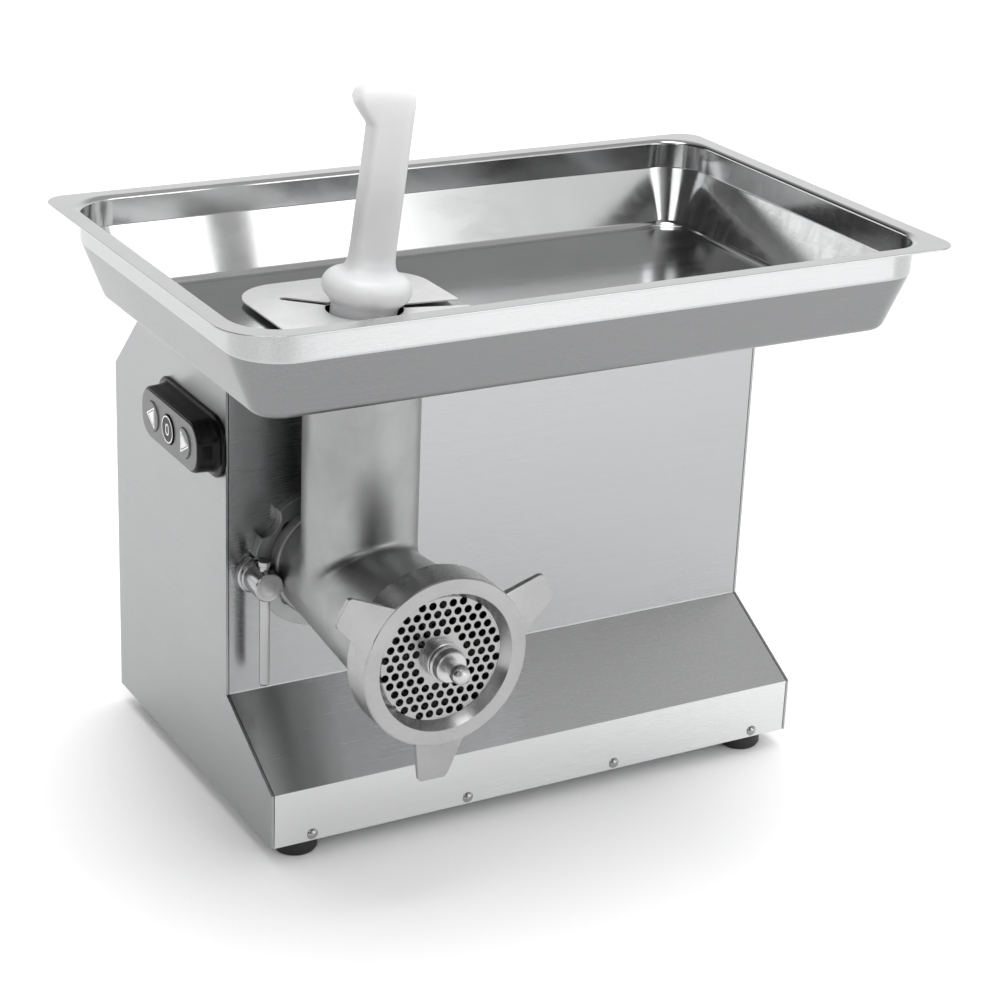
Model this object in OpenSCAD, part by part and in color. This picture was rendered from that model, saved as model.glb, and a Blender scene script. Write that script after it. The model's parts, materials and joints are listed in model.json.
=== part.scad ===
// Table meat grinder with a gear motor. Millimetres, +Z up, standing on z = 0.
// Inside the modules, x runs from the left side panel's outer face, y runs back from the
// apron's front face, and z runs up from the table. body_corner moves that to the origin,
// which is the centre of the whole machine's footprint.

/* [Body] */
// Width across both side panels
body_w = 470; // [460:1:480]
// Depth from the apron to the rear cover
body_d = 309; // [309:1:320]
// Height of the body's top, on which the tray rests
body_h = 424; // [422:1:430]
// Clearance under the base plate, the height of a foot
foot_h = 16; // [14:1:18]
// Top of the vertical apron
apron_z = 61; // [58:1:64]
// Set-back of the upright front face behind the apron
panel_y = 85; // [85:1:86]
// Height where the sloping ledge meets the upright face
knee_z = 107; // [104:1:110]
// Height on the rear face where the 45 degree chamfer starts
chamfer_z = 305; // [303:1:310]
// Thickness of the side panels
side_t = 2; // [1.5:0.5:2]
// Thickness of the bent sheets
sheet_t = 1.5; // [1:0.5:1.5]

/* [Head] */
// Distance of the barrel axis from the left side
head_x = 75.7; // [75:0.1:77]
// Height of the barrel axis
head_z = 212.7; // [210:0.1:215]
// Distance of the neck axis behind the apron's front face
neck_y = 14; // [12:1:19]
// Outer radius of the neck
neck_r = 43; // [41:0.5:44]
// Inner radius of the neck
neck_bore_r = 38; // [37.8:0.1:38.5]
// Outer radius of the barrel at its rear end
barrel_rear_r = 42; // [41:0.5:42.5]
// Outer radius of the barrel behind the ring nut
barrel_front_r = 53; // [52:0.5:54]
// Front face of the ring nut, ahead of the apron
ring_front = 126; // [126:1:128]
// Outer radius of the ring nut
ring_r = 64; // [63:0.5:66]
// Reach of the ring nut's wings from the axis
wing_r = 93; // [90:1:96]

/* [Cutting plate] */
// Radius of the plate
plate_r = 49.5; // [49.3:0.1:49.5]
// Thickness of the plate
plate_t = 8; // [7:0.5:8]
// Diameter of its holes
plate_hole_d = 5.8; // [4:0.2:6]
// Distance between hole centres
plate_pitch = 8; // [8:0.2:9]

/* [Tray] */
// Width of the rim
tray_w = 552; // [545:1:560]
// Depth of the rim
tray_d = 349; // [345:1:352]
// Overhang of the rim beyond the left side panel
tray_overhang = 109; // [105:1:112]
// Overhang of the rim ahead of the apron
tray_lead = 187; // [185:1:190]
// Height of the rim above the tray floor's underside
tray_h = 67; // [60:1:75]
// Width of the flat rim
rim_w = 13; // [11:1:14]
// Height of the vertical band below the rim
band_h = 22; // [18:1:24]
// Inward run of the sloping walls
slope_run = 17; // [14:1:18]

/* [Pusher] */
// Lean of the resting pusher to the right, in degrees
pusher_lean = 7; // [5:0.5:7]
// Height of the pusher above the guard plate
pusher_h = 161; // [150:1:170]
// Radius of the plunger inside the neck
plunger_r = 24; // [22:0.5:24]

/* [Controls] */
// Length of the control housing
control_l = 112; // [105:1:114]
// Height of the control housing
control_h = 41.5; // [39:0.5:42]
// Depth of the control housing
control_d = 19; // [17:1:20]

/* [Gears] */
// Teeth of the output gear
output_teeth = 44; // [44:1:44]
// Teeth of both pinions
pinion_teeth = 16; // [16:1:16]
// Teeth of the intermediate gear
middle_teeth = 56; // [56:1:56]

/* [Hidden] */
$fn = 64;
slow_module = 2.5;
fast_module = 2;
backlash = 0.7;

// Overall footprint, and the shift from the body's corner to its centre
gland_reach = 20;
machine_w = tray_overhang + body_w;
machine_d = tray_lead + body_d + gland_reach;
body_corner = [tray_overhang - machine_w / 2, tray_lead - machine_d / 2, 0];
top_back_y = body_d - (body_h - chamfer_z);

// Tray levels and radii
tray_t = 1.5;
floor_z = body_h + tray_t;
rim_z = body_h + tray_h;
rim_corner_r = 17;
near_corner_r = 40;
band_corner_r = 36;
spout_r = neck_bore_r - 0.5;
spout_h = 12;
guard_gap = 3;
guard_t = 1.5;
guard_z = floor_z + guard_gap;
guard_half = 73;
guard_corner_r = 35;
guard_hole_r = 28;
guard_shift = 4;

// Stations along the barrel axis, in y
ring_y = -ring_front;
ring_depth = 28;
plate_y = ring_y + 8;
knife_y = plate_y + plate_t;
knife_t = 12;
thread_r = 56;
collar_y = 64;
flange_y = panel_y - 9.2;
flange_r = 56;
scallop_angles = [38, 142];
hub_bolt_r = 39.5;
output_bearing_r = 36;
barrel_bore_rear = 36.5;
barrel_bore_front = 46;
worm_front_y = knife_y + knife_t + 0.5;

// Locking knob
knob_x = 21.5;
knob_z = 206;
knob_r = 11.5;
knob_front = 53;
bar_y = 62;
bar_r = 4;
bar_drop = 82;
bar_stub = 15;

// Control housing
control_y = 147;
control_z = 306;
button_pitch = 31;
button_r = 11.5;
button_proud = 1.2;
lip_t = 3;
lip_margin = 6;
stem_r = 4;

// Gear train: output, intermediate and motor axes lie in one level row
slow_distance = slow_module * (output_teeth + pinion_teeth) / 2;
fast_distance = fast_module * (middle_teeth + pinion_teeth) / 2;
middle_x = head_x + slow_distance;
motor_x = middle_x + fast_distance;
case_front = panel_y + 1.7;
case_inside = case_front + 17.2;
case_back = case_front + 64.8;
case_wall = 7;
case_r = 61;
gasket_t = 0.8;
cover_front = case_back + gasket_t;
cover_t = 14;
cover_back = cover_front + cover_t;
slow_gear_y = case_inside + 1;
slow_gear_w = 22;
fast_gear_y = slow_gear_y + 28;
fast_gear_w = 14;
case_screw_r = 2.5;

// Motor stations
motor_wall = 16;
core_y = cover_back + 30;
core_l = 50;
frame_l = 96;
shield_y = cover_back + frame_l + 0.1;
shield_t = 20;
frame_r = 80;
fin_r = 88;
stator_bore_r = 44;
fan_y = shield_y + shield_t + 2;
fan_cover_end = shield_y + 42;

panel_x = 345;
apron_screw_z = foot_h + 5.5;
apron_screw_x = [for (i = [0:3]) 34 + i * (body_w - 68) / 3];
foot_x = [30, body_w - 30];
foot_y = [23, body_d - 24];
gland_x = body_w - 60;
gland_z = 62;

steel = "silver";
polished = "gainsboro";
cast = "darkgray";
machined = "lightsteelblue";
dark = "dimgray";

// ---- Shared shapes ----

// Cylinder along y from y0 to y1
module rod_y(r, y0, y1) {
  translate([0, y0, 0]) rotate([-90, 0, 0]) cylinder(r = r, h = y1 - y0);
}

// Ring along y
module ring_y(outer, inner, y0, y1) {
  difference() {
    rod_y(outer, y0, y1);
    rod_y(inner, y0 - 1, y1 + 1);
  }
}

// Profile of [radius, y] points turned about the y axis
module turned_y(points) {
  rotate([-90, 0, 0]) rotate_extrude() polygon(points);
}

// Outline in the x-z plane, extruded from y0 to y1
module slab_y(y0, y1) {
  translate([0, y1, 0]) rotate([90, 0, 0]) linear_extrude(y1 - y0) children();
}

// Outline in the y-z plane, extruded from x0 to x1
module slab_x(x0, x1) {
  translate([x0, 0, 0]) rotate([90, 0, 90]) linear_extrude(x1 - x0) children();
}

// Block between two corners
module block(low, high) {
  translate(low) cube(high - low);
}

// Rectangle with round corners, by its half sizes
module round_rect(half_x, half_y, r) {
  square([2 * half_x - 2 * r, 2 * half_y], center = true);
  square([2 * half_x, 2 * half_y - 2 * r], center = true);
  for (sx = [-1, 1], sy = [-1, 1]) {
    translate([sx * (half_x - r), sy * (half_y - r)]) circle(r);
  }
}

function unit(v) = v / norm(v);
function left_of(v) = [-v[1], v[0]];

// Mitred copy of an open line of points, moved t to its left
function inset(p, t) = [
  for (i = [0:len(p) - 1])
    let (
      n1 = left_of(unit(i == 0 ? p[1] - p[0] : p[i] - p[i - 1])),
      n2 = left_of(unit(i == len(p) - 1 ? p[i] - p[i - 1] : p[i + 1] - p[i]))
    )
    p[i] + t * (n1 + n2) / (1 + n1 * n2)
];
function reversed(p) = [for (i = [len(p) - 1:-1:0]) p[i]];

// Section of a bent sheet that lies to the left of its line of points
module bent_sheet(p, t) {
  polygon(concat(p, reversed(inset(p, t))));
}

// Gear outline with straight flanks, a tooth on the +x side when phase is 0
module gear_outline(teeth, m, phase = 0) {
  pitch_r = m * teeth / 2;
  root_r = pitch_r - 1.25 * m;
  tip_r = pitch_r + m;
  half = (PI * m / 4 - backlash / 2) / pitch_r;
  flank = tan(20);
  root_a = (half + flank * 1.25 * m / root_r) * 180 / PI;
  tip_a = (half - flank * m / tip_r) * 180 / PI;
  polygon([
    for (i = [0:teeth - 1], k = [[root_r, -root_a], [tip_r, -tip_a], [tip_r, tip_a], [root_r, root_a]])
      let (a = phase + i * 360 / teeth + k[1])
      k[0] * [cos(a), sin(a)]
  ]);
}

// Deep-groove bearing along y: two rings and its balls
module bearing_y(inner_r, outer_r, y0, y1) {
  wall = (outer_r - inner_r) * 0.3;
  ball_r = (outer_r - inner_r) * 0.19;
  ring_y(outer_r, outer_r - wall, y0, y1);
  ring_y(inner_r + wall, inner_r, y0, y1);
  for (a = [0:40:320]) {
    rotate([0, a, 0]) translate([(inner_r + outer_r) / 2, (y0 + y1) / 2, 0]) sphere(r = ball_r, $fn = 32);
  }
}

// Domed screw along +y, its head's seat at y = 0
module domed_screw(head_r, shank_r, length) {
  dome_h = head_r * 0.55;
  sphere_r = (head_r * head_r + dome_h * dome_h) / (2 * dome_h);
  intersection() {
    translate([0, sphere_r - dome_h, 0]) sphere(r = sphere_r);
    rod_y(head_r, -dome_h - 1, 0);
  }
  rod_y(shank_r, -0.1, length);
}

// Moves to the barrel axis
module on_head_axis() {
  translate(body_corner + [head_x, 0, head_z]) children();
}

// Moves to the intermediate or motor axis
module on_axis(x) {
  translate(body_corner + [x, 0, head_z]) children();
}

// ---- Body sheets ----

module side_outline() {
  polygon([
    [0, foot_h], [0, apron_z], [panel_y, knee_z], [panel_y, body_h], [top_back_y, body_h],
    [body_d, chamfer_z], [body_d, foot_h]
  ]);
}

// Flange along the panel's rear edge that the rear cover screws to
module rear_flange(x0) {
  block([x0, body_d - 2 * sheet_t - 0.1, 45], [x0 + 16, body_d - sheet_t - 0.1, chamfer_z - 10]);
}

module rear_flange_holes(x) {
  for (z = [60, 170, 280]) {
    translate([x, 0, z]) rod_y(2.1, body_d - 8, body_d + 1);
  }
}

module left_side_panel() {
  color(steel) translate(body_corner) difference() {
    union() {
      slab_x(0, side_t) side_outline();
      rear_flange(side_t);
    }
    rear_flange_holes(10);
    for (i = [-1:1]) {
      translate([-1, control_y + i * button_pitch, control_z]) rotate([0, 90, 0]) cylinder(r = 6, h = 5);
    }
    for (s = [-1, 1]) {
      translate([-1, control_y + s * 46, control_z]) rotate([0, 90, 0]) cylinder(r = 2.1, h = 5);
    }
  }
}

module right_side_panel() {
  color(steel) translate(body_corner) difference() {
    union() {
      slab_x(body_w - side_t, body_w) side_outline();
      rear_flange(body_w - side_t - 16);
    }
    rear_flange_holes(body_w - 10);
  }
}

module front_panel() {
  color(steel) translate(body_corner) difference() {
    slab_x(side_t + 0.6, body_w - side_t - 0.6)
      bent_sheet([[panel_y, body_h - 1.6], [panel_y, knee_z], [0, apron_z], [0, foot_h]], sheet_t);
    translate([head_x, 0, head_z]) rod_y(35.5, panel_y - 1, panel_y + 3);
    translate([head_x, 0, head_z]) hub_bolt_holes(3.3, panel_y - 1, panel_y + 3);
    translate([knob_x, 0, knob_z]) rod_y(6.5, panel_y - 1, panel_y + 3);
    for (x = apron_screw_x) {
      translate([x, 0, apron_screw_z]) rod_y(2.1, -1, 3);
    }
  }
}

module top_plate() {
  color(steel) translate(body_corner)
    block([side_t + 0.2, panel_y, body_h - sheet_t], [body_w - side_t - 0.2, top_back_y, body_h]);
}

module base_plate() {
  flange_top = foot_h + 20;
  front = sheet_t + 0.1;
  back = body_d - sheet_t - 0.1;
  low_x = side_t + 0.2;
  high_x = body_w - side_t - 0.2;
  color(steel) translate(body_corner) difference() {
    union() {
      block([low_x, front, foot_h], [high_x, back, foot_h + sheet_t]);
      block([low_x, front, foot_h], [high_x, front + sheet_t, flange_top]);
      block([low_x, back - sheet_t, foot_h], [high_x, back, flange_top]);
    }
    for (x = apron_screw_x) {
      translate([x, 0, apron_screw_z]) rod_y(2.1, 0, 5);
      translate([x, 0, apron_screw_z]) rod_y(2.1, back - 3, back + 1);
    }
    for (x = foot_x, y = foot_y) {
      translate([x, y, foot_h - 1]) cylinder(r = 4.1, h = 5);
    }
    for (i = [0:9]) {
      block([150 + i * 14, 250, foot_h - 1], [155 + i * 14, 280, foot_h + 3]);
    }
  }
}

module rear_cover() {
  gap = side_t + 0.3;
  line = [[body_d, foot_h], [body_d, chamfer_z], [top_back_y + 1.7, body_h - 1.7]];
  color(steel) translate(body_corner) difference() {
    slab_x(gap, body_w - gap) bent_sheet(line, sheet_t);
    rear_flange_holes(10);
    rear_flange_holes(body_w - 10);
    for (x = apron_screw_x) {
      translate([x, 0, apron_screw_z]) rod_y(2.1, body_d - 3, body_d + 1);
    }
    translate([gland_x, 0, gland_z]) rod_y(9.2, body_d - 3, body_d + 1);
    for (i = [0:9]) {
      block([motor_x - 55, body_d - 3, 160 + i * 11], [motor_x + 55, body_d + 1, 165 + i * 11]);
    }
  }
}

module apron_screws() {
  color(polished) translate(body_corner) for (x = apron_screw_x) {
    translate([x, 0, apron_screw_z]) domed_screw(4.6, 2, 9);
  }
}

module rear_cover_screws() {
  spots = concat(
    [for (x = apron_screw_x) [x, apron_screw_z]],
    [for (x = [10, body_w - 10], z = [60, 170, 280]) [x, z]]
  );
  color(polished) translate(body_corner) for (p = spots) {
    translate([p[0], body_d, p[1]]) rotate([0, 0, 180]) domed_screw(4.6, 2, 9);
  }
}

// ---- Feet ----

module at_feet() {
  translate(body_corner) for (x = foot_x, y = foot_y) {
    translate([x, y, 0]) children();
  }
}

module rubber_feet() {
  color("black") at_feet() rotate_extrude() polygon([
    [9, 0], [15.5, 0], [17.5, 3], [17.5, foot_h - 3], [15.5, foot_h], [4.2, foot_h], [4.2, 6.5], [9, 6.5]
  ]);
}

module foot_bolts() {
  color(machined) at_feet() {
    translate([0, 0, 1.5]) cylinder(r = 7.5, h = 5, $fn = 6);
    translate([0, 0, 6]) cylinder(r = 4, h = foot_h + 6);
  }
}

module foot_nuts() {
  color(machined) at_feet() translate([0, 0, foot_h + sheet_t]) difference() {
    cylinder(r = 7.5, h = 6, $fn = 6);
    translate([0, 0, -1]) cylinder(r = 4.05, h = 8);
  }
}

module cable_gland() {
  color("black") translate(body_corner + [gland_x, 0, gland_z]) difference() {
    union() {
      rod_y(9, body_d - 12, body_d + 1);
      slab_y(body_d, body_d + 6) circle(r = 14, $fn = 6);
      rod_y(11, body_d + 5, body_d + gland_reach - 3);
      turned_y([
      [0, body_d + 10], [11, body_d + 10], [11, body_d + 17], [8, body_d + gland_reach], [0, body_d + gland_reach]
    ]);
      slab_y(body_d - 10, body_d - sheet_t) circle(r = 14, $fn = 6);
    }
    rod_y(4.5, body_d - 20, body_d + gland_reach + 1);
  }
}

// ---- Gearbox ----

module hub_bolt_holes(r, y0, y1) {
  for (a = [45:90:315]) {
    rotate([0, a, 0]) translate([hub_bolt_r, 0, 0]) rod_y(r, y0, y1);
  }
}

module hub_flange() {
  back = panel_y - 0.1;
  color(cast) difference() {
    on_head_axis() difference() {
      rod_y(flange_r, flange_y, back);
      rod_y(25.6, flange_y - 1, back + 1);
      rod_y(34, flange_y + 3.2, back + 1);
      for (a = scallop_angles) {
        rotate([0, -a, 0]) translate([flange_r + 6, 0, 0]) rod_y(14, flange_y - 1, back + 1);
      }
      hub_bolt_holes(3.2, flange_y - 1, back + 1);
      hub_bolt_holes(6.2, flange_y - 1, flange_y + 3.2);
    }
    translate(body_corner + [knob_x, 0, knob_z]) rod_y(15.5, flange_y - 1, back + 1);
  }
}

module hub_flange_bolts() {
  color(machined) on_head_axis() for (a = [45:90:315]) {
    rotate([0, a, 0]) translate([hub_bolt_r, 0, 0]) {
      rod_y(6, flange_y + 0.4, flange_y + 3.2);
      rod_y(3, flange_y + 3, case_front + 9);
    }
  }
}

module oil_seal() {
  color("black") on_head_axis() ring_y(33.9, 25.05, flange_y + 3.4, panel_y - 0.3);
}

// Outline of the gear case around the three axes, x from the output axis
module case_outline(r, motor_r) {
  circle(r);
  translate([slow_distance, 0]) circle(r);
  translate([0, -r]) square([slow_distance, 2 * r]);
  translate([slow_distance + fast_distance, 0]) circle(motor_r);
  translate([slow_distance, -motor_r]) square([fast_distance, 2 * motor_r]);
}

case_screw_spots = concat(
  [for (a = [105, 150, 210, 255]) (case_r + case_wall / 2 + 1) * [cos(a), sin(a)]],
  [for (s = [-1, 1]) [slow_distance / 2, s * (case_r + case_wall / 2 + 0.5)]],
  [for (s = [-1, 1]) [slow_distance + fast_distance - 8, s * (30 + case_wall / 2)]]
);

module gearbox_housing() {
  color(cast) on_head_axis() difference() {
    slab_y(case_front, case_back) case_outline(case_r + case_wall, 30 + case_wall);
    slab_y(case_inside, case_back + 1) case_outline(case_r, 30);
    rod_y(30, case_front - 1, case_front + 4);
    rod_y(output_bearing_r + 0.05, case_front + 3, case_inside + 1);
    translate([slow_distance, 0, 0]) rod_y(20.05, case_front + 5, case_inside + 1);
    hub_bolt_holes(3.05, case_front - 1, case_front + 10);
    translate([knob_x - head_x, 0, knob_z - head_z]) rod_y(6.05, case_front - 1, case_front + 13);
    for (p = case_screw_spots) {
      translate([p[0], 0, p[1]]) rod_y(case_screw_r + 0.05, case_back - 15, case_back + 1);
    }
  }
}

module gearbox_gasket() {
  color("darkgreen") on_head_axis() difference() {
    slab_y(case_back, cover_front) case_outline(case_r + case_wall, 30 + case_wall);
    slab_y(case_back - 1, cover_front + 1) case_outline(case_r, 30);
    for (p = case_screw_spots) {
      translate([p[0], 0, p[1]]) rod_y(case_screw_r + 0.1, case_back - 1, cover_front + 1);
    }
  }
}

module gearbox_cover() {
  color(cast) on_head_axis() difference() {
    slab_y(cover_front, cover_back) case_outline(case_r + case_wall, 30 + case_wall);
    rod_y(26.05, cover_front - 1, cover_front + 11.5);
    translate([slow_distance, 0, 0]) rod_y(20.05, cover_front - 1, cover_front + 11.5);
    translate([slow_distance + fast_distance, 0, 0]) rod_y(14.5, cover_front - 1, cover_back + 1);
    for (p = case_screw_spots) {
      translate([p[0], 0, p[1]]) rod_y(case_screw_r + 0.1, cover_front - 1, cover_back + 1);
    }
  }
}

module gearbox_cover_screws() {
  // The two screws beside the motor have flush heads, because the motor flange covers them
  color(machined) on_head_axis() for (i = [0:len(case_screw_spots) - 1]) {
    p = case_screw_spots[i];
    translate([p[0], 0, p[1]]) {
      rod_y(case_screw_r, case_back - 14, cover_back - 0.2);
      if (i < 6) rod_y(4.5, cover_back, cover_back + 4);
      if (i < 6) rod_y(case_screw_r, cover_back - 1, cover_back + 1);
    }
  }
}

module gearbox_pedestal() {
  top = head_z - case_r - case_wall;
  x0 = head_x + 4;
  x1 = head_x + slow_distance - 4;
  low = foot_h + sheet_t;
  color(dark) translate(body_corner) slab_y(case_front + 8, case_back - 4) polygon([
    [x0 - 16, low], [x0 + 4, low], [x0 + 4, top - 4], [x1 - 4, top - 4], [x1 - 4, low],
    [x1 + 16, low], [x1 + 16, low + 4], [x1, low + 4], [x1, top], [x0, top], [x0, low + 4],
    [x0 - 16, low + 4]
  ]);
}

module output_bearings() {
  color(machined) on_head_axis() {
    bearing_y(25.05, output_bearing_r, case_front + 4.1, case_front + 16);
    bearing_y(15.05, 26, cover_front + 1, cover_front + 11);
  }
}

module intermediate_bearings() {
  color(machined) on_axis(middle_x) {
    bearing_y(12.05, 20, case_front + 5.1, case_front + 15);
    bearing_y(12.05, 20, cover_front + 1, cover_front + 11);
  }
}

// ---- Rotating train ----

module output_shaft() {
  front = flange_y + 0.4;
  color(machined) on_head_axis() difference() {
    union() {
      rod_y(25, front, case_inside);
      rod_y(20, case_inside - 1, slow_gear_y + slow_gear_w + 1);
      rod_y(15, slow_gear_y + slow_gear_w, cover_front + 11);
    }
    block([-10.1, front - 1, -10.1], [10.1, front + 24, 10.1]);
  }
}

module output_gear() {
  color("goldenrod") on_head_axis() difference() {
    slab_y(slow_gear_y, slow_gear_y + slow_gear_w) gear_outline(output_teeth, slow_module);
    rod_y(20.02, slow_gear_y - 1, slow_gear_y + slow_gear_w + 1);
    for (a = [0:60:300]) {
      rotate([0, a, 0]) translate([34, 0, 0]) rod_y(7, slow_gear_y - 1, slow_gear_y + slow_gear_w + 1);
    }
  }
}

module intermediate_pinion_shaft() {
  color(machined) on_axis(middle_x) {
    rod_y(12, case_front + 5.5, cover_front + 11);
    slab_y(slow_gear_y, slow_gear_y + slow_gear_w)
      gear_outline(pinion_teeth, slow_module, 180 / pinion_teeth);
    rod_y(16, slow_gear_y + slow_gear_w - 1, fast_gear_y);
  }
}

module intermediate_gear() {
  color("goldenrod") on_axis(middle_x) difference() {
    slab_y(fast_gear_y, fast_gear_y + fast_gear_w) gear_outline(middle_teeth, fast_module);
    rod_y(12.02, fast_gear_y - 1, fast_gear_y + fast_gear_w + 1);
    for (a = [0:60:300]) {
      rotate([0, a, 0]) translate([33, 0, 0]) rod_y(9, fast_gear_y - 1, fast_gear_y + fast_gear_w + 1);
    }
  }
}

module motor_pinion_shaft() {
  color(machined) on_axis(motor_x) {
    slab_y(fast_gear_y, fast_gear_y + fast_gear_w)
      gear_outline(pinion_teeth, fast_module, 180 / pinion_teeth);
    rod_y(10, fast_gear_y + fast_gear_w - 1, fan_y + 12);
  }
}

module rotor_core() {
  color(dark) on_axis(motor_x) ring_y(stator_bore_r - 0.5, 10.02, core_y, core_y + core_l);
}

module cooling_fan() {
  color("black") on_axis(motor_x) difference() {
    union() {
      rod_y(15, fan_y, fan_y + 14);
      rod_y(60, fan_y, fan_y + 2);
      for (a = [0:45:315]) {
        rotate([0, a, 0]) block([12, fan_y + 1, -1.2], [60, fan_y + 13, 1.2]);
      }
    }
    rod_y(10.02, fan_y - 1, fan_y + 15);
  }
}

// ---- Motor ----

module stator_core() {
  color(dark) on_axis(motor_x) ring_y(71.9, stator_bore_r, core_y, core_y + core_l);
}

module stator_windings() {
  color("chocolate") on_axis(motor_x) for (y = [core_y - 10, core_y + core_l]) {
    turned_y([[50, y + 2], [53, y], [64, y], [67, y + 2], [67, y + 8], [64, y + 10], [53, y + 10], [50, y + 8]]);
  }
}

module motor_frame() {
  end = cover_back + frame_l;
  color(cast) on_axis(motor_x) difference() {
    union() {
      rod_y(frame_r, cover_back + 0.1, end);
      for (a = [0:15:345]) {
        rotate([0, a, 0]) block([frame_r - 2, cover_back + 6, -1.5], [fin_r, end - 3, 1.5]);
      }
    }
    rod_y(72, cover_back + motor_wall, end + 1);
    rod_y(12, cover_back - 1, cover_back + motor_wall + 1);
    rod_y(22.05, cover_back + 4, cover_back + motor_wall + 1);
    translate([slow_distance + head_x - motor_x - 60, cover_back - 1, -90]) cube([67, 6, 180]);
  }
}

module motor_end_shield() {
  color(cast) on_axis(motor_x) difference() {
    union() {
      rod_y(71.8, shield_y - 4, shield_y);
      rod_y(83.9, shield_y, shield_y + 6);
      rod_y(28, shield_y, shield_y + shield_t);
    }
    rod_y(22.05, shield_y - 5, shield_y + 12);
    rod_y(12, shield_y - 6, shield_y + shield_t + 1);
  }
}

module motor_bearings() {
  color(machined) on_axis(motor_x) {
    bearing_y(10.05, 22, cover_back + 4.1, cover_back + 15);
    bearing_y(10.05, 22, shield_y + 0.5, shield_y + 11.9);
  }
}

module fan_cover() {
  color(dark) on_axis(motor_x) difference() {
    rod_y(85.5, shield_y + 0.5, fan_cover_end);
    rod_y(84, shield_y - 1, fan_cover_end - 1.5);
    for (r = [18:12:66]) {
      difference() {
        ring_y(r + 6, r, fan_cover_end - 3, fan_cover_end + 1);
        for (a = [0:60:300]) {
          rotate([0, a, 0]) block([0, fan_cover_end - 4, -3], [90, fan_cover_end + 2, 3]);
        }
      }
    }
  }
}

module motor_cradle() {
  low = foot_h + sheet_t;
  color(dark) difference() {
    translate(body_corner) slab_y(core_y, core_y + 44) polygon([
      [motor_x - 70, low], [motor_x + 70, low], [motor_x + 70, low + 5], [motor_x + 52, low + 5],
      [motor_x + 52, head_z - 60], [motor_x - 52, head_z - 60], [motor_x - 52, low + 5], [motor_x - 70, low + 5]
    ]);
    on_axis(motor_x) rod_y(fin_r + 0.1, core_y - 1, core_y + 50);
    translate(body_corner) block([motor_x - 46, core_y - 1, low + 5], [motor_x + 46, core_y + 50, head_z - fin_r - 8]);
  }
}

// ---- Electrical ----

module electrical_panel() {
  low = foot_h + sheet_t;
  color(dark) translate(body_corner) {
    block([panel_x, 110, low], [panel_x + 2, 290, 270]);
    block([panel_x + 1, 110, low], [panel_x + 22, 290, low + 2]);
    block([panel_x + 2, 120, 196], [panel_x + 9, 280, 231]);
  }
}

module contactors() {
  rail_x = panel_x + 9;
  color("whitesmoke") translate(body_corner) for (i = [0:2]) {
    y = 130 + i * 48;
    block([rail_x, y, 178], [rail_x + 45, y + 42, 248]);
    block([rail_x + 44, y + 6, 192], [rail_x + 62, y + 36, 234]);
  }
}

module capacitor() {
  color("lightgray") translate(body_corner + [panel_x + 50, 190, 0]) {
    translate([0, 0, foot_h + sheet_t]) cylinder(r = 22, h = 96);
    for (s = [-1, 1]) {
      translate([0, s * 8, foot_h + sheet_t + 95]) cylinder(r = 3, h = 12);
    }
  }
}

module switch_block() {
  color("darkslategray") translate(body_corner) difference() {
    block([side_t, control_y - 50, control_z - 14], [side_t + 26, control_y + 50, control_z + 14]);
    for (i = [-1:1]) {
      translate([side_t - 1, control_y + i * button_pitch, control_z]) rotate([0, 90, 0]) cylinder(r = 5, h = 13);
    }
    for (s = [-1, 1]) {
      translate([side_t - 1, control_y + s * 46, control_z]) rotate([0, 90, 0]) cylinder(r = 2.05, h = 10);
    }
  }
}

// Wire through a list of corners, with a ball at each bend
module wire(points, r) {
  for (i = [0:len(points) - 2]) {
    d = points[i + 1] - points[i];
    tilt = acos(d[2] / norm(d));
    turn = atan2(d[1], d[0]);
    translate(points[i]) rotate([0, tilt, turn]) cylinder(r = r, h = norm(d), $fn = 24);
    if (i > 0) translate(points[i]) sphere(r = r, $fn = 24);
  }
}

module internal_wiring() {
  high = 330;
  color("gray") translate(body_corner) {
    wire([
      [side_t + 26, control_y + 12, control_z], [side_t + 45, control_y + 12, control_z],
      [side_t + 45, control_y + 12, high], [panel_x + 30, control_y + 12, high],
      [panel_x + 30, control_y + 12, 248]
    ], 3);
    wire([
      [motor_x, core_y + 20, head_z + frame_r + 9], [motor_x, core_y + 20, high + 12],
      [panel_x + 32, core_y + 20, high + 12], [panel_x + 32, core_y + 20, 248]
    ], 4);
  }
}

// ---- Controls ----

module at_controls() {
  translate(body_corner + [0, control_y, control_z]) children();
}

module at_button(i) {
  translate(body_corner + [0, control_y + i * button_pitch, control_z]) rotate([0, 90, 0]) children();
}

module control_housing() {
  color("black") difference() {
    at_controls() difference() {
      union() {
        slab_x(-lip_t, 0) round_rect(control_l / 2 + lip_margin + 2, control_h / 2 + 4, 20);
        slab_x(-control_d, -lip_t + 1) round_rect(control_l / 2, control_h / 2, 17);
      }
      slab_x(-control_d + 4, 1) round_rect(control_l / 2 - 3, control_h / 2 - 3, 14);
    }
    for (i = [-1:1]) {
      at_button(i) translate([0, 0, -control_d - 1]) cylinder(r = button_r + 0.4, h = 8);
    }
  }
}

module button_plate() {
  color("slategray") difference() {
    at_controls() slab_x(-control_d - 0.8, -control_d) round_rect(control_l / 2 - 2.5, control_h / 2 - 2.5, 14.5);
    for (i = [-1:1]) {
      at_button(i) translate([0, 0, -control_d - 2]) cylinder(r = button_r + 0.4, h = 4);
    }
  }
}

// Cap, guide disc and stem of one push button, pressed along +x
module push_button() {
  face = -control_d - 0.8 - button_proud;
  translate([0, 0, face]) cylinder(r = button_r, h = 7);
  translate([0, 0, face + 6]) cylinder(r = stem_r, h = side_t + 4 - face - 6);
}

module forward_button() {
  color("darkslategray") at_button(1) push_button();
}

module stop_button() {
  color("black") at_button(0) push_button();
}

module reverse_button() {
  color("darkslategray") at_button(-1) push_button();
}

// ---- Head ----

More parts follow.
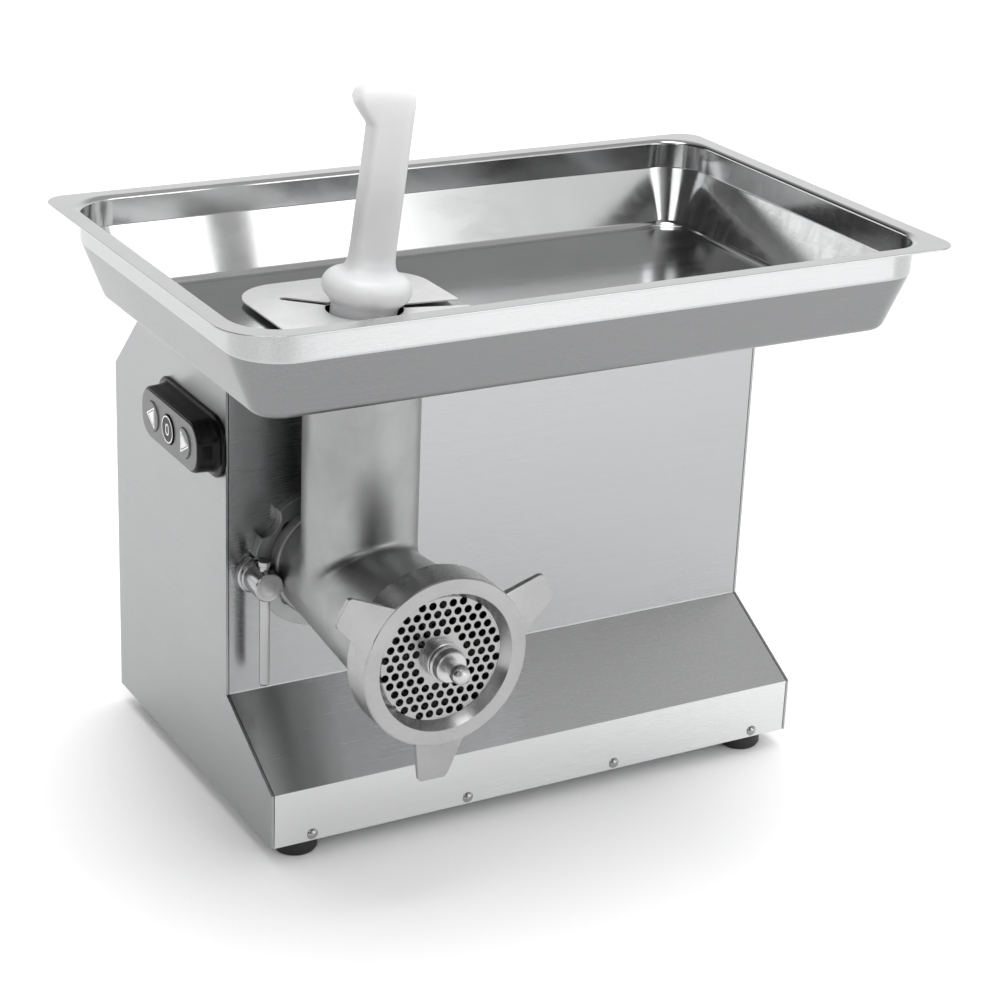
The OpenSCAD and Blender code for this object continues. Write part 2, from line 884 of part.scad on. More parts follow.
module head_casting() {
  neck_top = body_h - 0.4 - head_z;
  color(cast) on_head_axis() difference() {
    union() {
      turned_y([
        [0, flange_y - 0.2], [44.5, flange_y - 0.2], [44.5, collar_y + 1], [43.5, collar_y],
        [barrel_rear_r, collar_y], [barrel_front_r, ring_y + ring_depth + 1.5],
        [thread_r, ring_y + ring_depth + 1], [thread_r, plate_y + 0.3], [0, plate_y + 0.3]
      ]);
      translate([0, neck_y, 0]) cylinder(r = neck_r, h = neck_top, $fn = 96);
      translate([barrel_front_r - 8, 4, 14]) rod_y(8, -6, 16);
    }
    turned_y([
      [0, flange_y + 1], [26, flange_y + 1], [26, collar_y + 4], [barrel_bore_rear, collar_y + 2],
      [barrel_bore_front, worm_front_y], [47.5, worm_front_y], [47.5, knife_y],
      [plate_r + 0.1, knife_y], [plate_r + 0.1, plate_y - 1], [0, plate_y - 1]
    ]);
    translate([0, neck_y, 0]) cylinder(r = neck_bore_r, h = neck_top + 1, $fn = 96);
    rotate([0, 140, 0]) translate([plate_r - 0.4, 0, 0]) rod_y(2.55, plate_y - 1, knife_y + 1);
    translate([knob_x - head_x, 0, knob_z - head_z]) rod_y(12.9, collar_y - 0.5, flange_y + 1);
  }
}

module plate_key() {
  color(machined) on_head_axis() rotate([0, 140, 0]) translate([plate_r - 0.4, 0, 0])
    rod_y(2.5, plate_y + 0.5, knife_y - 0.05);
}

module thrust_washer() {
  color("goldenrod") on_head_axis() ring_y(25.8, 14.6, collar_y + 4.5, collar_y + 7.5);
}

// Screw flight: a fin that winds round the core and grows towards the front
module worm_flight() {
  length = collar_y - worm_front_y - 3;
  turns = 2.6;
  rear_r = barrel_bore_rear - 1.2;
  front_r = barrel_bore_front - 1.6;
  translate([0, worm_front_y + length, 0]) rotate([90, 0, 0])
    linear_extrude(length, twist = 360 * turns, slices = 48, segments = 6, scale = front_r / rear_r)
      polygon([[8, -2], [rear_r * cos(12), -rear_r * sin(12)], [rear_r, 0], [rear_r * cos(12), rear_r * sin(12)], [8, 2]]);
}

module worm() {
  color(cast) on_head_axis() difference() {
    union() {
      turned_y([
        [0, worm_front_y], [26, worm_front_y], [26, worm_front_y + 3], [17, collar_y + 1], [25.4, collar_y + 1],
        [25.4, collar_y + 4.2], [14.5, collar_y + 4.2], [14.5, collar_y + 9], [0, collar_y + 9]
      ]);
      worm_flight();
      block([-10, collar_y + 8, -10], [10, flange_y + 22, 10]);
    }
    rod_y(9.02, worm_front_y - 1, worm_front_y + 30);
  }
}

module worm_pin() {
  face = plate_y;
  color(polished) on_head_axis() {
    rod_y(9, worm_front_y - 1, worm_front_y + 29);
    block([-9, knife_y - 0.5, -9], [9, worm_front_y - 0.02, 9]);
    rod_y(13, face - 0.2, knife_y);
    turned_y([
      [0, face], [13.6, face - 0.15], [13.6, face - 5], [12.9, face - 5.4], [12.9, face - 6.6],
      [13.6, face - 7], [13.6, face - 9], [12.4, face - 10], [11.8, face - 15.4], [11, face - 16.2],
      [4.6, face - 16.2], [4.6, face - 21.5], [6.5, face - 23], [7, face - 26], [6.8, face - 29.5],
      [5.6, face - 32.2], [3.2, face - 33.7], [0, face - 34.2]
    ]);
  }
}

module cross_knife() {
  color(machined) on_head_axis() difference() {
    slab_y(knife_y + 0.1, knife_y + knife_t) difference() {
      union() {
        circle(17);
        for (a = [0:90:270]) {
          rotate(a) polygon([[0, -9], [44, -6], [46, 5], [20, 9], [0, 9]]);
        }
      }
      square(18.1, center = true);
    }
    for (a = [0:90:270]) {
      rotate([0, a, 0]) block([20, knife_y + 5, 3], [50, knife_y + knife_t + 1, 20]);
    }
  }
}

// Hole centres of the cutting plate: a triangular lattice outside the hub
plate_reach = 8;
plate_hub_r = 17.5;
plate_field_r = 45;
function lattice(i, j) = plate_pitch * [i + (j % 2 == 0 ? 0 : 0.5), j * sqrt(3) / 2];
plate_holes = [
  for (j = [-plate_reach:plate_reach], i = [-plate_reach:plate_reach])
    let (p = lattice(i, j))
    if (norm(p) > plate_hub_r && norm(p) < plate_field_r) p
];

module cutting_plate() {
  color(polished) on_head_axis() difference() {
    slab_y(plate_y, plate_y + plate_t - 0.05) difference() {
      circle(plate_r);
      circle(13.1);
      for (p = plate_holes) {
        translate(p) circle(d = plate_hole_d, $fn = 24);
      }
    }
    rotate([0, 140, 0]) translate([plate_r - 0.4, 0, 0]) rod_y(2.9, plate_y - 1, knife_y + 1);
  }
}

module wing_outline() {
  polygon([
    [52, -20], [62, -18.5], [wing_r - 1, -11.5], [wing_r + 1, -9.5], [wing_r, 9.5], [wing_r - 3, 11.5],
    [62, 18.5], [52, 20]
  ]);
}

// Thin cone that the wings are cut from, sloping back towards their tips
module wing_cone() {
  turned_y([
    [50, ring_y + 0.2], [62, ring_y + 0.2], [wing_r + 3, ring_y + 6.6], [wing_r + 3, ring_y + 10.2],
    [62, ring_y + 5.2], [50, ring_y + 5.2]
  ]);
}

module ring_nut() {
  back = ring_y + ring_depth;
  color(steel) on_head_axis() difference() {
    union() {
      turned_y([[0, ring_y], [ring_r - 1, ring_y], [ring_r, ring_y + 1], [ring_r, back - 1], [ring_r - 1, back], [0, back]]);
      for (a = [27, 147, 267]) {
        intersection() {
          slab_y(ring_y - 1, ring_y + 14) rotate(a) wing_outline();
          wing_cone();
        }
      }
    }
    turned_y([
      [0, ring_y - 1], [53, ring_y - 1], [47, plate_y - 0.1], [thread_r + 0.4, plate_y - 0.1],
      [thread_r + 0.4, back + 1], [0, back + 1]
    ]);
  }
}

module locking_knob() {
  back = panel_y - 0.3;
  color(polished) translate(body_corner + [knob_x, 0, knob_z]) difference() {
    union() {
      turned_y([
        [0, knob_front], [knob_r - 0.8, knob_front], [knob_r, knob_front + 0.8], [knob_r, 75.5], [12.6, 75.7],
        [12.6, 78.6], [12, 79], [14.4, 79.4], [14.4, back], [0, back]
      ]);
      rod_y(6, back - 1, case_front + 11);
    }
    translate([0, bar_y, -20]) cylinder(r = bar_r + 0.05, h = 40);
  }
}

module tommy_bar() {
  color(polished) translate(body_corner + [knob_x, bar_y, knob_z]) {
    translate([0, 0, -bar_drop]) cylinder(r = bar_r, h = bar_drop + bar_stub);
    translate([0, 0, -bar_drop - 2]) cylinder(r1 = bar_r - 1, r2 = bar_r, h = 2);
    translate([0, 0, bar_stub]) cylinder(r = bar_r + 1, h = 4);
  }
}

// ---- Tray, guard and pusher ----

// Tray wall section: [distance from the corner centre, height], outer face then inner face
wall_foot_r = band_corner_r - slope_run;
wall_section = [
  [band_corner_r, rim_z], [band_corner_r, rim_z - band_h], [wall_foot_r + 1.2, body_h], [wall_foot_r, body_h],
  [wall_foot_r, floor_z], [band_corner_r - tray_t, rim_z - band_h], [band_corner_r - tray_t, rim_z]
];

module tray_walls(half_x, half_y) {
  run_x = half_x - band_corner_r;
  run_y = half_y - band_corner_r;
  for (c = [[1, 1, 0], [-1, 1, 90], [-1, -1, 180], [1, -1, 270]]) {
    translate([c[0] * run_x, c[1] * run_y, 0]) rotate(c[2]) rotate_extrude(angle = 90) polygon(wall_section);
  }
  for (s = [0, 180]) {
    rotate(s) translate([run_x, run_y, 0]) rotate([90, 0, 0]) linear_extrude(2 * run_y) polygon(wall_section);
    rotate(s + 90) translate([run_y, run_x, 0]) rotate([90, 0, 0]) linear_extrude(2 * run_x) polygon(wall_section);
  }
}

// Rounds the rim's corner nearest the operator more than the other three
module near_corner_cut() {
  translate([near_corner_r - tray_w / 2, near_corner_r - tray_d / 2]) difference() {
    translate([-near_corner_r - 1, -near_corner_r - 1]) square(near_corner_r + 1);
    circle(near_corner_r);
  }
}

module feed_tray() {
  centre = body_corner + [tray_w / 2 - tray_overhang, tray_d / 2 - tray_lead, 0];
  half_x = tray_w / 2 - rim_w;
  half_y = tray_d / 2 - rim_w;
  inlet = [head_x + tray_overhang - tray_w / 2, neck_y + tray_lead - tray_d / 2];
  color(polished) translate(centre) {
    translate([0, 0, rim_z - tray_t]) linear_extrude(tray_t) difference() {
      round_rect(tray_w / 2, tray_d / 2, rim_corner_r);
      round_rect(half_x, half_y, band_corner_r);
      near_corner_cut();
    }
    tray_walls(half_x, half_y);
    translate([0, 0, body_h]) linear_extrude(tray_t) difference() {
      round_rect(half_x - slope_run, half_y - slope_run, wall_foot_r);
      translate(inlet) circle(spout_r);
    }
    translate([inlet[0], inlet[1], body_h - spout_h]) linear_extrude(spout_h + tray_t) difference() {
      circle(spout_r);
      circle(spout_r - tray_t);
    }
  }
}

module guard_plate() {
  color(steel) translate(body_corner + [head_x + 0.5, neck_y, guard_z]) linear_extrude(guard_t) difference() {
    translate([0, guard_shift]) round_rect(guard_half, guard_half, guard_corner_r);
    circle(guard_hole_r);
    for (a = [136, 258]) {
      rotate(a) translate([20, -3.5]) square([40, 7]);
      rotate(a) translate([60, 0]) circle(3.5);
    }
    rotate(-10) polygon([[20, -4], [90, -9], [90, 9], [20, 4]]);
  }
}

module guard_spacers() {
  centre = body_corner + [head_x + 0.5, neck_y + guard_shift, floor_z];
  color(machined) translate(centre) for (sx = [-1, 1], sy = [-1, 1]) {
    translate([sx * 54, sy * 54, 0]) cylinder(r = 4, h = guard_gap);
  }
}

module grip_outline() {
  // Hooked grip seen from the front; x runs right and y runs up
  polygon(concat(
    [[-15, 24], [17, 24], [17, pusher_h - 9]],
    [for (a = [0:15:90]) [8 + 9 * cos(a), pusher_h - 9 + 9 * sin(a)]],
    [for (a = [90:15:225]) [-19.4 + 9.4 * cos(a), pusher_h - 9.4 + 9.4 * sin(a)]],
    [[-15, pusher_h - 29]]
  ));
}

module pusher() {
  bulb_z = 16;
  bulb_r = 33;
  round_r = 11;
  color("white") translate(body_corner + [head_x, neck_y, guard_z + guard_t]) rotate([0, pusher_lean, 0]) {
    rotate_extrude() polygon(concat(
      [[0, -90], [plunger_r - 3, -90], [plunger_r, -86], [plunger_r, 2]],
      [for (a = [-70:20:70]) [bulb_r - round_r + round_r * cos(a), bulb_z + round_r * sin(a)]],
      [[18, 30], [0, 30]]
    ));
    slab_y(-9, 9) grip_outline();
  }
}

left_side_panel();
right_side_panel();
front_panel();
top_plate();
base_plate();
rear_cover();
apron_screws();
rear_cover_screws();
rubber_feet();
foot_bolts();
foot_nuts();
cable_gland();
hub_flange();
hub_flange_bolts();
oil_seal();
gearbox_housing();
gearbox_gasket();
gearbox_cover();
gearbox_cover_screws();
gearbox_pedestal();
output_bearings();
intermediate_bearings();
output_shaft();
output_gear();
intermediate_pinion_shaft();
intermediate_gear();
motor_pinion_shaft();
rotor_core();
stator_core();
stator_windings();
motor_frame();
motor_end_shield();
motor_bearings();
cooling_fan();
fan_cover();
motor_cradle();
electrical_panel();
contactors();
capacitor();
internal_wiring();
switch_block();
control_housing();
button_plate();
forward_button();
stop_button();
reverse_button();
head_casting();
plate_key();
thrust_washer();
worm();
worm_pin();
cross_knife();
cutting_plate();
ring_nut();
locking_knob();
tommy_bar();
feed_tray();
guard_plate();
guard_spacers();
pusher();
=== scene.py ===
"""Looks of the table meat grinder: materials, detailed pieces, studio and camera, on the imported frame."""

import json
import math

import bmesh
import bpy
import numpy as np
from mathutils import Matrix, Vector


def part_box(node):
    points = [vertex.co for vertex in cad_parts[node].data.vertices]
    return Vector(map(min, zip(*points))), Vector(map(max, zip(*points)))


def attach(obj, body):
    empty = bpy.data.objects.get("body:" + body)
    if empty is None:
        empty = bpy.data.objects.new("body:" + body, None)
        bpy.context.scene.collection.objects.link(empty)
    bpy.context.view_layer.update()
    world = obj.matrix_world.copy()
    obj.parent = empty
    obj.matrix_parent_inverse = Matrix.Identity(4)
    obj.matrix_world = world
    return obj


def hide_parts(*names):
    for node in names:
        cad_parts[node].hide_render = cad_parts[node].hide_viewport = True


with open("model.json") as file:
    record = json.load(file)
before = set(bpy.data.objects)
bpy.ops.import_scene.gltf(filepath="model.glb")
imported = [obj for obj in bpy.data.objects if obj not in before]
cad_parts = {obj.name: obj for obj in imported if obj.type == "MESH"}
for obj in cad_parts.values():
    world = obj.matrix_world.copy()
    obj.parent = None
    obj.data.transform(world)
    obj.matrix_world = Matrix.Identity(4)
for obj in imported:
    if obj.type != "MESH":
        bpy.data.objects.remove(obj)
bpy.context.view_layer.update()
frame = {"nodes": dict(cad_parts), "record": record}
NODES = frame["nodes"]
MM = 0.001

# Machine axes, as the design uses them: x from the left side panel's outer face,
# y back from the apron's front face, z up from the table, in millimetres
ORIGIN = Vector((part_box("left_side_panel")[0].x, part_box("front_panel")[0].y, 0.0))


def machine_box(node):
    """Lowest and highest corner of a CAD node, in machine millimetres."""
    low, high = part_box(node)
    return (low - ORIGIN) / MM, (high - ORIGIN) / MM


def at(x, y, z):
    """A point of the machine's millimetres, in the frame's metres."""
    return ORIGIN + Vector((x, y, z)) * MM


def middle(node, axis):
    """The middle of a CAD node's box along axis 0, 1 or 2, in machine millimetres."""
    low, high = machine_box(node)
    return (low[axis] + high[axis]) / 2


AXIS_X = middle("cutting_plate", 0)  # the worm's axis
AXIS_Z = middle("cutting_plate", 2)
KNOB_X = middle("locking_knob", 0)
KNOB_Z = middle("locking_knob", 2)
NECK_Y = middle("pusher", 1)  # where the inlet's upright axis crosses the worm's

# ---- Materials ----

RINGS_IN_METRE = 0.05  # scale of a wave texture that gives one ring a metre
BANDS_IN_METRE = 0.31  # the same for straight bands


class Surface:
    """One procedural material, made from noise and grain laid in the object's own coordinates."""

    def __init__(self, name, colour, metallic=0.0, **values):
        """values are sockets of the shader, with underscores for spaces."""
        self.material = bpy.data.materials.new(name)
        self.material.use_nodes = True
        self.tree = self.material.node_tree
        self.shader = self.tree.nodes["Principled BSDF"]
        self.colour = (*colour, 1.0)
        self.shader.inputs["Base Color"].default_value = self.colour
        self.shader.inputs["Metallic"].default_value = metallic
        for socket, value in values.items():
            self.shader.inputs[socket.replace("_", " ")].default_value = value
        self.coordinates = self.tree.nodes.new("ShaderNodeTexCoord").outputs["Object"]
        self.normal = None

    def link(self, source, target):
        """Joins an output to an input."""
        self.tree.links.new(source, target)

    def moved(self, scale=(1, 1, 1), place=(0, 0, 0)):
        """The coordinates, shifted by -place and then scaled, in cycles per metre."""
        shift = self.tree.nodes.new("ShaderNodeVectorMath")
        shift.operation = "SUBTRACT"
        shift.inputs[1].default_value = place
        self.link(self.coordinates, shift.inputs[0])
        stretch = self.tree.nodes.new("ShaderNodeVectorMath")
        stretch.operation = "MULTIPLY"
        stretch.inputs[1].default_value = scale
        self.link(shift.outputs[0], stretch.inputs[0])
        return stretch.outputs[0]

    def noise(self, scale, detail=3.0, rough=0.5, distortion=0.0):
        """Noise of a given number of cycles per metre: one number, or one for each axis."""
        scale = scale if isinstance(scale, tuple) else (scale,) * 3
        node = self.tree.nodes.new("ShaderNodeTexNoise")
        node.inputs["Scale"].default_value = 1.0
        node.inputs["Detail"].default_value = detail
        node.inputs["Roughness"].default_value = rough
        node.inputs["Distortion"].default_value = distortion
        self.link(self.moved(scale), node.inputs["Vector"])
        return node.outputs["Fac"]

    def height(self):
        """Height above the table, in metres."""
        node = self.tree.nodes.new("ShaderNodeSeparateXYZ")
        self.link(self.coordinates, node.inputs[0])
        return node.outputs["Z"]

    def rings(self, centre, pitch, wobble=1.5):
        """Turning marks: rings round the y direction through centre, pitch metres apart."""
        node = self.tree.nodes.new("ShaderNodeTexWave")
        node.wave_type = "RINGS"
        node.rings_direction = "Y"
        node.inputs["Scale"].default_value = RINGS_IN_METRE / pitch
        node.inputs["Distortion"].default_value = wobble
        node.inputs["Detail"].default_value = 3.0
        node.inputs["Detail Scale"].default_value = 2.0
        self.link(self.moved(place=tuple(centre)), node.inputs["Vector"])
        return node.outputs["Fac"]

    def bands(self, pitch):
        """Parallel lines across the y direction, pitch metres apart."""
        node = self.tree.nodes.new("ShaderNodeTexWave")
        node.bands_direction = "Y"
        node.inputs["Scale"].default_value = BANDS_IN_METRE / pitch
        self.link(self.moved(), node.inputs["Vector"])
        return node.outputs["Fac"]

    def spread(self, source, low, high, from_low=0.3, from_high=0.7):
        """source, taken from one range of values to another."""
        node = self.tree.nodes.new("ShaderNodeMapRange")
        node.inputs["From Min"].default_value = from_low
        node.inputs["From Max"].default_value = from_high
        node.inputs["To Min"].default_value = low
        node.inputs["To Max"].default_value = high
        self.link(source, node.inputs["Value"])
        return node.outputs["Result"]

    def sum(self, first, second):
        """Two sources added together."""
        node = self.tree.nodes.new("ShaderNodeMath")
        node.operation = "ADD"
        self.link(first, node.inputs[0])
        self.link(second, node.inputs[1])
        return node.outputs[0]

    def roughness(self, base, *parts):
        """Roughness from a base value and (source, amount) pairs that vary it both ways."""
        value = self.tree.nodes.new("ShaderNodeValue").outputs[0]
        value.default_value = base
        for source, amount in parts:
            value = self.sum(value, self.spread(source, -amount, amount))
        self.link(value, self.shader.inputs["Roughness"])

    def tint(self, source, other, from_low=0.35, from_high=0.65):
        """Mixes the base colour towards another by a source."""
        node = self.tree.nodes.new("ShaderNodeMix")
        node.data_type = "RGBA"
        self.link(self.spread(source, 0.0, 1.0, from_low, from_high), node.inputs[0])
        base = self.shader.inputs["Base Color"]
        if base.is_linked:
            self.link(base.links[0].from_socket, node.inputs[6])
        else:
            node.inputs[6].default_value = self.colour
        node.inputs[7].default_value = (*other, 1.0)
        self.link(node.outputs[2], base)

    def bump(self, source, depth):
        """Adds a bump of a given depth, in metres."""
        node = self.tree.nodes.new("ShaderNodeBump")
        node.inputs["Strength"].default_value = 1.0
        node.inputs["Distance"].default_value = depth
        self.link(source, node.inputs["Height"])
        if self.normal:
            self.link(self.normal, node.inputs["Normal"])
        self.normal = node.outputs["Normal"]
        self.link(self.normal, self.shader.inputs["Normal"])


FINE = 3000.0  # grain across the brushing, in cycles per metre
LONG = 25.0  # grain along the brushing
STRETCH = 0.88  # how far a brushed sheet draws its highlights out


def brushed(name, colour, along, base=0.34, depth=2.5e-7, foot=None):
    """Brushed sheet whose grain runs along axis 0, 1 or 2; highlights stretch up and down.

    foot is a lighter colour of painted sheen, and the height in metres below which it takes over.
    """
    s = Surface(name, colour, metallic=1.0, Anisotropic=STRETCH)
    upright = s.tree.nodes.new("ShaderNodeCombineXYZ")
    upright.inputs["Z"].default_value = 1.0
    s.link(upright.outputs[0], s.shader.inputs["Tangent"])
    scale = tuple(LONG if i == along else FINE for i in range(3))
    broad = tuple(LONG / 3 if i == along else FINE / 4 for i in range(3))
    grain, streaks = s.noise(scale, 3.0, 0.6), s.noise(broad, 3.0, 0.55)
    smudge = s.noise(7.0, 3.0, 0.5, 0.4)
    s.roughness(base, (grain, 0.03), (streaks, 0.012), (smudge, 0.02))
    s.tint(streaks, tuple(c * 0.985 for c in colour))
    if foot:
        painted_sheen_colour, painted_sheen_top = foot
        # Below the given height the same sheet is painted a lighter colour: painted sheen, not a different
        # finish
        s.tint(s.height(), painted_sheen_colour, painted_sheen_top + MM, painted_sheen_top)
    s.bump(grain, depth)
    return s.material


def polished(name, colour, base=0.1):
    """Polished sheet with faint wipe marks and hairline scratches."""
    s = Surface(name, colour, metallic=1.0)
    wipe, hair = s.noise((30.0, 90.0, 60.0), 4.0, 0.6, 0.8), s.noise((2200.0, 60.0, 2200.0), 2.0)
    s.roughness(base, (wipe, 0.035), (hair, 0.02))
    s.tint(s.noise(14.0, 2.0), tuple(c * 0.95 for c in colour))
    s.bump(s.noise(11.0, 2.0), 3e-5)
    s.bump(hair, 1e-7)
    return s.material


def cast(name, colour, base=0.36, pit=1.3e-5, grain=1500.0, metallic=1.0):
    """Bead-blasted or as-cast metal: fine pits, cloudy tone."""
    s = Surface(name, colour, metallic=metallic)
    pits, cloud = s.noise(grain, 4.0, 0.65), s.noise(26.0, 4.0, 0.6, 0.3)
    s.roughness(base, (pits, 0.05), (cloud, 0.05))
    s.tint(cloud, tuple(c * 0.9 for c in colour))
    s.bump(s.noise(40.0, 2.0), 5e-5)
    s.bump(pits, pit)
    return s.material


def turned(name, colour, centre, base=0.26, pitch=0.0009, depth=1.5e-6):
    """Turned metal with rings round the y direction through a centre."""
    s = Surface(name, colour, metallic=1.0)
    marks, cloud = s.rings(centre, pitch), s.noise(45.0, 3.0, 0.6)
    s.roughness(base, (marks, 0.03), (cloud, 0.04))
    s.tint(cloud, tuple(c * 0.93 for c in colour))
    s.bump(marks, depth)
    s.bump(s.noise(2400.0, 2.0), 4e-7)
    return s.material


def plastic(name, colour, base, grain=1100.0, depth=8e-6, **values):
    """Moulded plastic with a fine spark-eroded grain and slight handling marks."""
    s = Surface(name, colour, **values)
    fine, marks = s.noise(grain, 3.0, 0.6), s.noise(60.0, 4.0, 0.6, 0.6)
    s.roughness(base, (fine, 0.03), (marks, 0.04))
    s.tint(marks, tuple(min(1.0, c * 1.25 + 0.004) for c in colour))
    s.bump(fine, depth)
    return s.material


def polyethylene(name):
    """White kitchen polyethylene: milky, waxy, with soft mould waves."""
    s = Surface(
        name, (0.67, 0.673, 0.676), Subsurface_Weight=0.85, Subsurface_Scale=0.03,
        Coat_Weight=0.06, Coat_Roughness=0.25,
    )
    s.shader.inputs["Subsurface Radius"].default_value = (1.0, 0.95, 0.9)
    waves, fine = s.noise(35.0, 3.0, 0.5, 0.4), s.noise(900.0, 3.0)
    s.roughness(0.36, (waves, 0.05), (fine, 0.03))
    s.tint(waves, (0.64, 0.645, 0.655))
    s.bump(waves, 8e-5)
    s.bump(fine, 8e-6)
    return s.material


def winding(name, colour, core):
    """Lacquered copper turns, with the gaps between them darkened by painted shade."""
    s = Surface(name, colour, metallic=0.85, Coat_Weight=0.5, Coat_Roughness=0.15)
    turns = s.rings(core, 0.0011, 3.0)
    s.roughness(0.3, (turns, 0.06), (s.noise(60.0), 0.05))
    # The grooves between turns are darkened in colour: painted shade
    s.tint(turns, tuple(c * 0.35 for c in colour), 0.45, 0.75)
    s.bump(turns, 1.6e-4)
    return s.material


def laminated(name, colour):
    """A stack of thin steel sheets along the motor's axis."""
    s = Surface(name, colour, metallic=1.0)
    sheets = s.bands(0.0008)
    s.roughness(0.45, (sheets, 0.08), (s.noise(70.0), 0.06))
    s.tint(s.noise(50.0, 4.0), (0.3, 0.27, 0.25))
    s.bump(sheets, 6e-5)
    return s.material


AXIS = at(AXIS_X, 0, AXIS_Z)
KNOB_AXIS = at(KNOB_X, 0, KNOB_Z)
LEDGE_TOP = 107 * MM  # the front panel is upright above this height

COLOURS = {m["slot"]: tuple(m["base_color"][:3]) for m in frame["record"]["materials"]}
STAINLESS = (0.35, 0.353, 0.357)
FRONT_UPPER = (0.37, 0.373, 0.377)
# The apron below the ledge is painted much lighter than the sheet above it: painted sheen
FRONT_LOWER_PAINTED_SHEEN = (0.66, 0.663, 0.667)

FINISHES = {
    "brushed_sheet": brushed("brushed_sheet", STAINLESS, along=1),
    "galvanised_sheet": cast("galvanised_sheet", COLOURS["galvanised_sheet"], base=0.48, pit=5e-6,
                             grain=220.0),
    "polished_sheet": polished("polished_sheet", (0.6, 0.603, 0.607), base=0.15),
    "satin_plate": brushed("satin_plate", COLOURS["satin_plate"], along=0),
    "cast_steel": cast("cast_steel", (0.33, 0.332, 0.333), base=0.38, pit=5e-6),
    "turned_steel": turned("turned_steel", (0.36, 0.36, 0.358), AXIS, base=0.24, pitch=0.0005, depth=6e-7),
    "chrome": turned("chrome", (0.38, 0.38, 0.385), KNOB_AXIS, base=0.2, pitch=0.0008, depth=4e-7),
    "hard_steel": turned("hard_steel", (0.12, 0.12, 0.12), AXIS, base=0.35),
    "bronze": turned("bronze", COLOURS["bronze"], AXIS, base=0.28),
    "cast_aluminium": cast("cast_aluminium", COLOURS["cast_aluminium"], base=0.5, pit=5e-5, grain=520.0),
    "core_steel": laminated("core_steel", COLOURS["core_steel"]),
    "copper_winding": winding("copper_winding", COLOURS["copper_winding"], AXIS),
    "rubber": plastic("rubber", (0.006, 0.006, 0.006), base=0.55, grain=700.0, depth=3e-5),
    "black_plastic": plastic("black_plastic", (0.003, 0.003, 0.0035), base=0.16, grain=900.0, depth=3e-6,
                             Specular_IOR_Level=0.12),
    "grey_plastic": plastic("grey_plastic", COLOURS["grey_plastic"], base=0.34, grain=1300.0, depth=1e-5),
    "capacitor_case": brushed("capacitor_case", COLOURS["capacitor_case"], along=2, base=0.3),
    "white_plastic": polyethylene("white_plastic"),
}

# Nodes whose finish differs from the rest of their slot
OWN_FINISHES = {
    # The front panel below the ledge takes a lighter colour of the same sheet: painted sheen
    "front_panel": brushed("front_sheet_painted_sheen", FRONT_UPPER, along=0, base=0.25, depth=1.2e-7,
                           foot=(FRONT_LOWER_PAINTED_SHEEN, LEDGE_TOP)),
    "ring_nut": cast("ring_satin", (0.36, 0.36, 0.36), base=0.27, pit=2e-6, grain=2600.0),
    "worm_pin": turned("pin_steel", (0.5, 0.5, 0.5), AXIS, base=0.3, pitch=0.0012, depth=4e-7),
    "fan_cover": plastic("fan_cover_paint", (0.012, 0.012, 0.013), base=0.5, grain=700.0, depth=1e-5),
    "guard_plate": cast("guard_satin", (0.8, 0.802, 0.805), base=0.42, pit=2e-6, grain=2600.0,
                        metallic=0.55),
}

MARK_WHITE = plastic("mark_white", (0.85, 0.85, 0.84), base=0.4, grain=1500.0, depth=3e-6)
OUTER_TRAY = brushed("tray_outside", (0.46, 0.463, 0.467), along=0, base=0.26)
# The same outer sheet painted darker for the slope: painted shade
TRAY_SLOPE_PAINTED_SHADE = brushed("tray_slope_painted_shade", (0.22, 0.222, 0.225), along=0, base=0.26)

for part in frame["record"]["subparts"]:
    materials = NODES[part["node"]].data.materials
    finish = FINISHES[part["material_slot"]]
    if len(materials):
        for index in range(len(materials)):
            materials[index] = finish
    else:
        materials.append(finish)

for node, finish in OWN_FINISHES.items():
    NODES[node].data.materials[0] = finish

# ---- Mesh building ----


def rounded_path(points, radii, steps=5):
    """An open line of 2-D points whose inner corners are rounded by the given radii."""
    line = [Vector(points[0])]
    for before, corner, after, radius in zip(points, points[1:], points[2:], radii):
        corner = Vector(corner)
        back, ahead = (Vector(before) - corner).normalized(), (Vector(after) - corner).normalized()
        half = back.angle(ahead) / 2
        reach = radius / math.tan(half)
        centre = corner + (back + ahead).normalized() * radius / math.sin(half)
        start, end = corner + back * reach - centre, corner + ahead * reach - centre
        for i in range(steps + 1):
            blend = start.lerp(end, i / steps).normalized() * radius
            line.append(centre + blend)
    line.append(Vector(points[-1]))
    return line


def rounded_loop(half_u, half_v, radii, steps=8, sides=(1, 1)):
    """Points round a rectangle with rounded corners, from +u+v anticlockwise; sides splits its edges."""
    radii = radii if isinstance(radii, tuple) else (radii,) * 4
    corners = [(1, 1, 0), (-1, 1, 90), (-1, -1, 180), (1, -1, 270)]
    arcs = []
    for (su, sv, start), r in zip(corners, radii):
        centre = Vector((su * (half_u - r), sv * (half_v - r)))
        angles = [math.radians(start + 90 * i / steps) for i in range(steps + 1)]
        arcs.append([centre + Vector((math.cos(t), math.sin(t))) * r for t in angles])
    loop = []
    for index, arc in enumerate(arcs):
        loop += arc
        following = arcs[(index + 1) % 4][0]
        count = sides[index % 2]
        loop += [arc[-1].lerp(following, i / count) for i in range(1, count)]
    return loop


def loft(loops, caps=False):
    """Vertices and faces of a skin over closed loops with the same number of points."""
    n = len(loops[0])
    faces = []
    for row in range(len(loops) - 1):
        for i in range(n):
            j = (i + 1) % n
            faces.append((row * n + i, row * n + j, (row + 1) * n + j, (row + 1) * n + i))
    if caps:
        faces.append(tuple(reversed(range(n))))
        faces.append(tuple(range((len(loops) - 1) * n, len(loops) * n)))
    return [v for loop in loops for v in loop], faces


def lathe(profile, segments=96, caps=True):
    """A closed skin from (radius, station) points turned about the machine's y direction."""
    angles = np.linspace(0, math.tau, segments, endpoint=False)
    loops = [[(r * math.cos(t), y, -r * math.sin(t)) for t in angles] for r, y in profile]
    return loft(loops, caps)


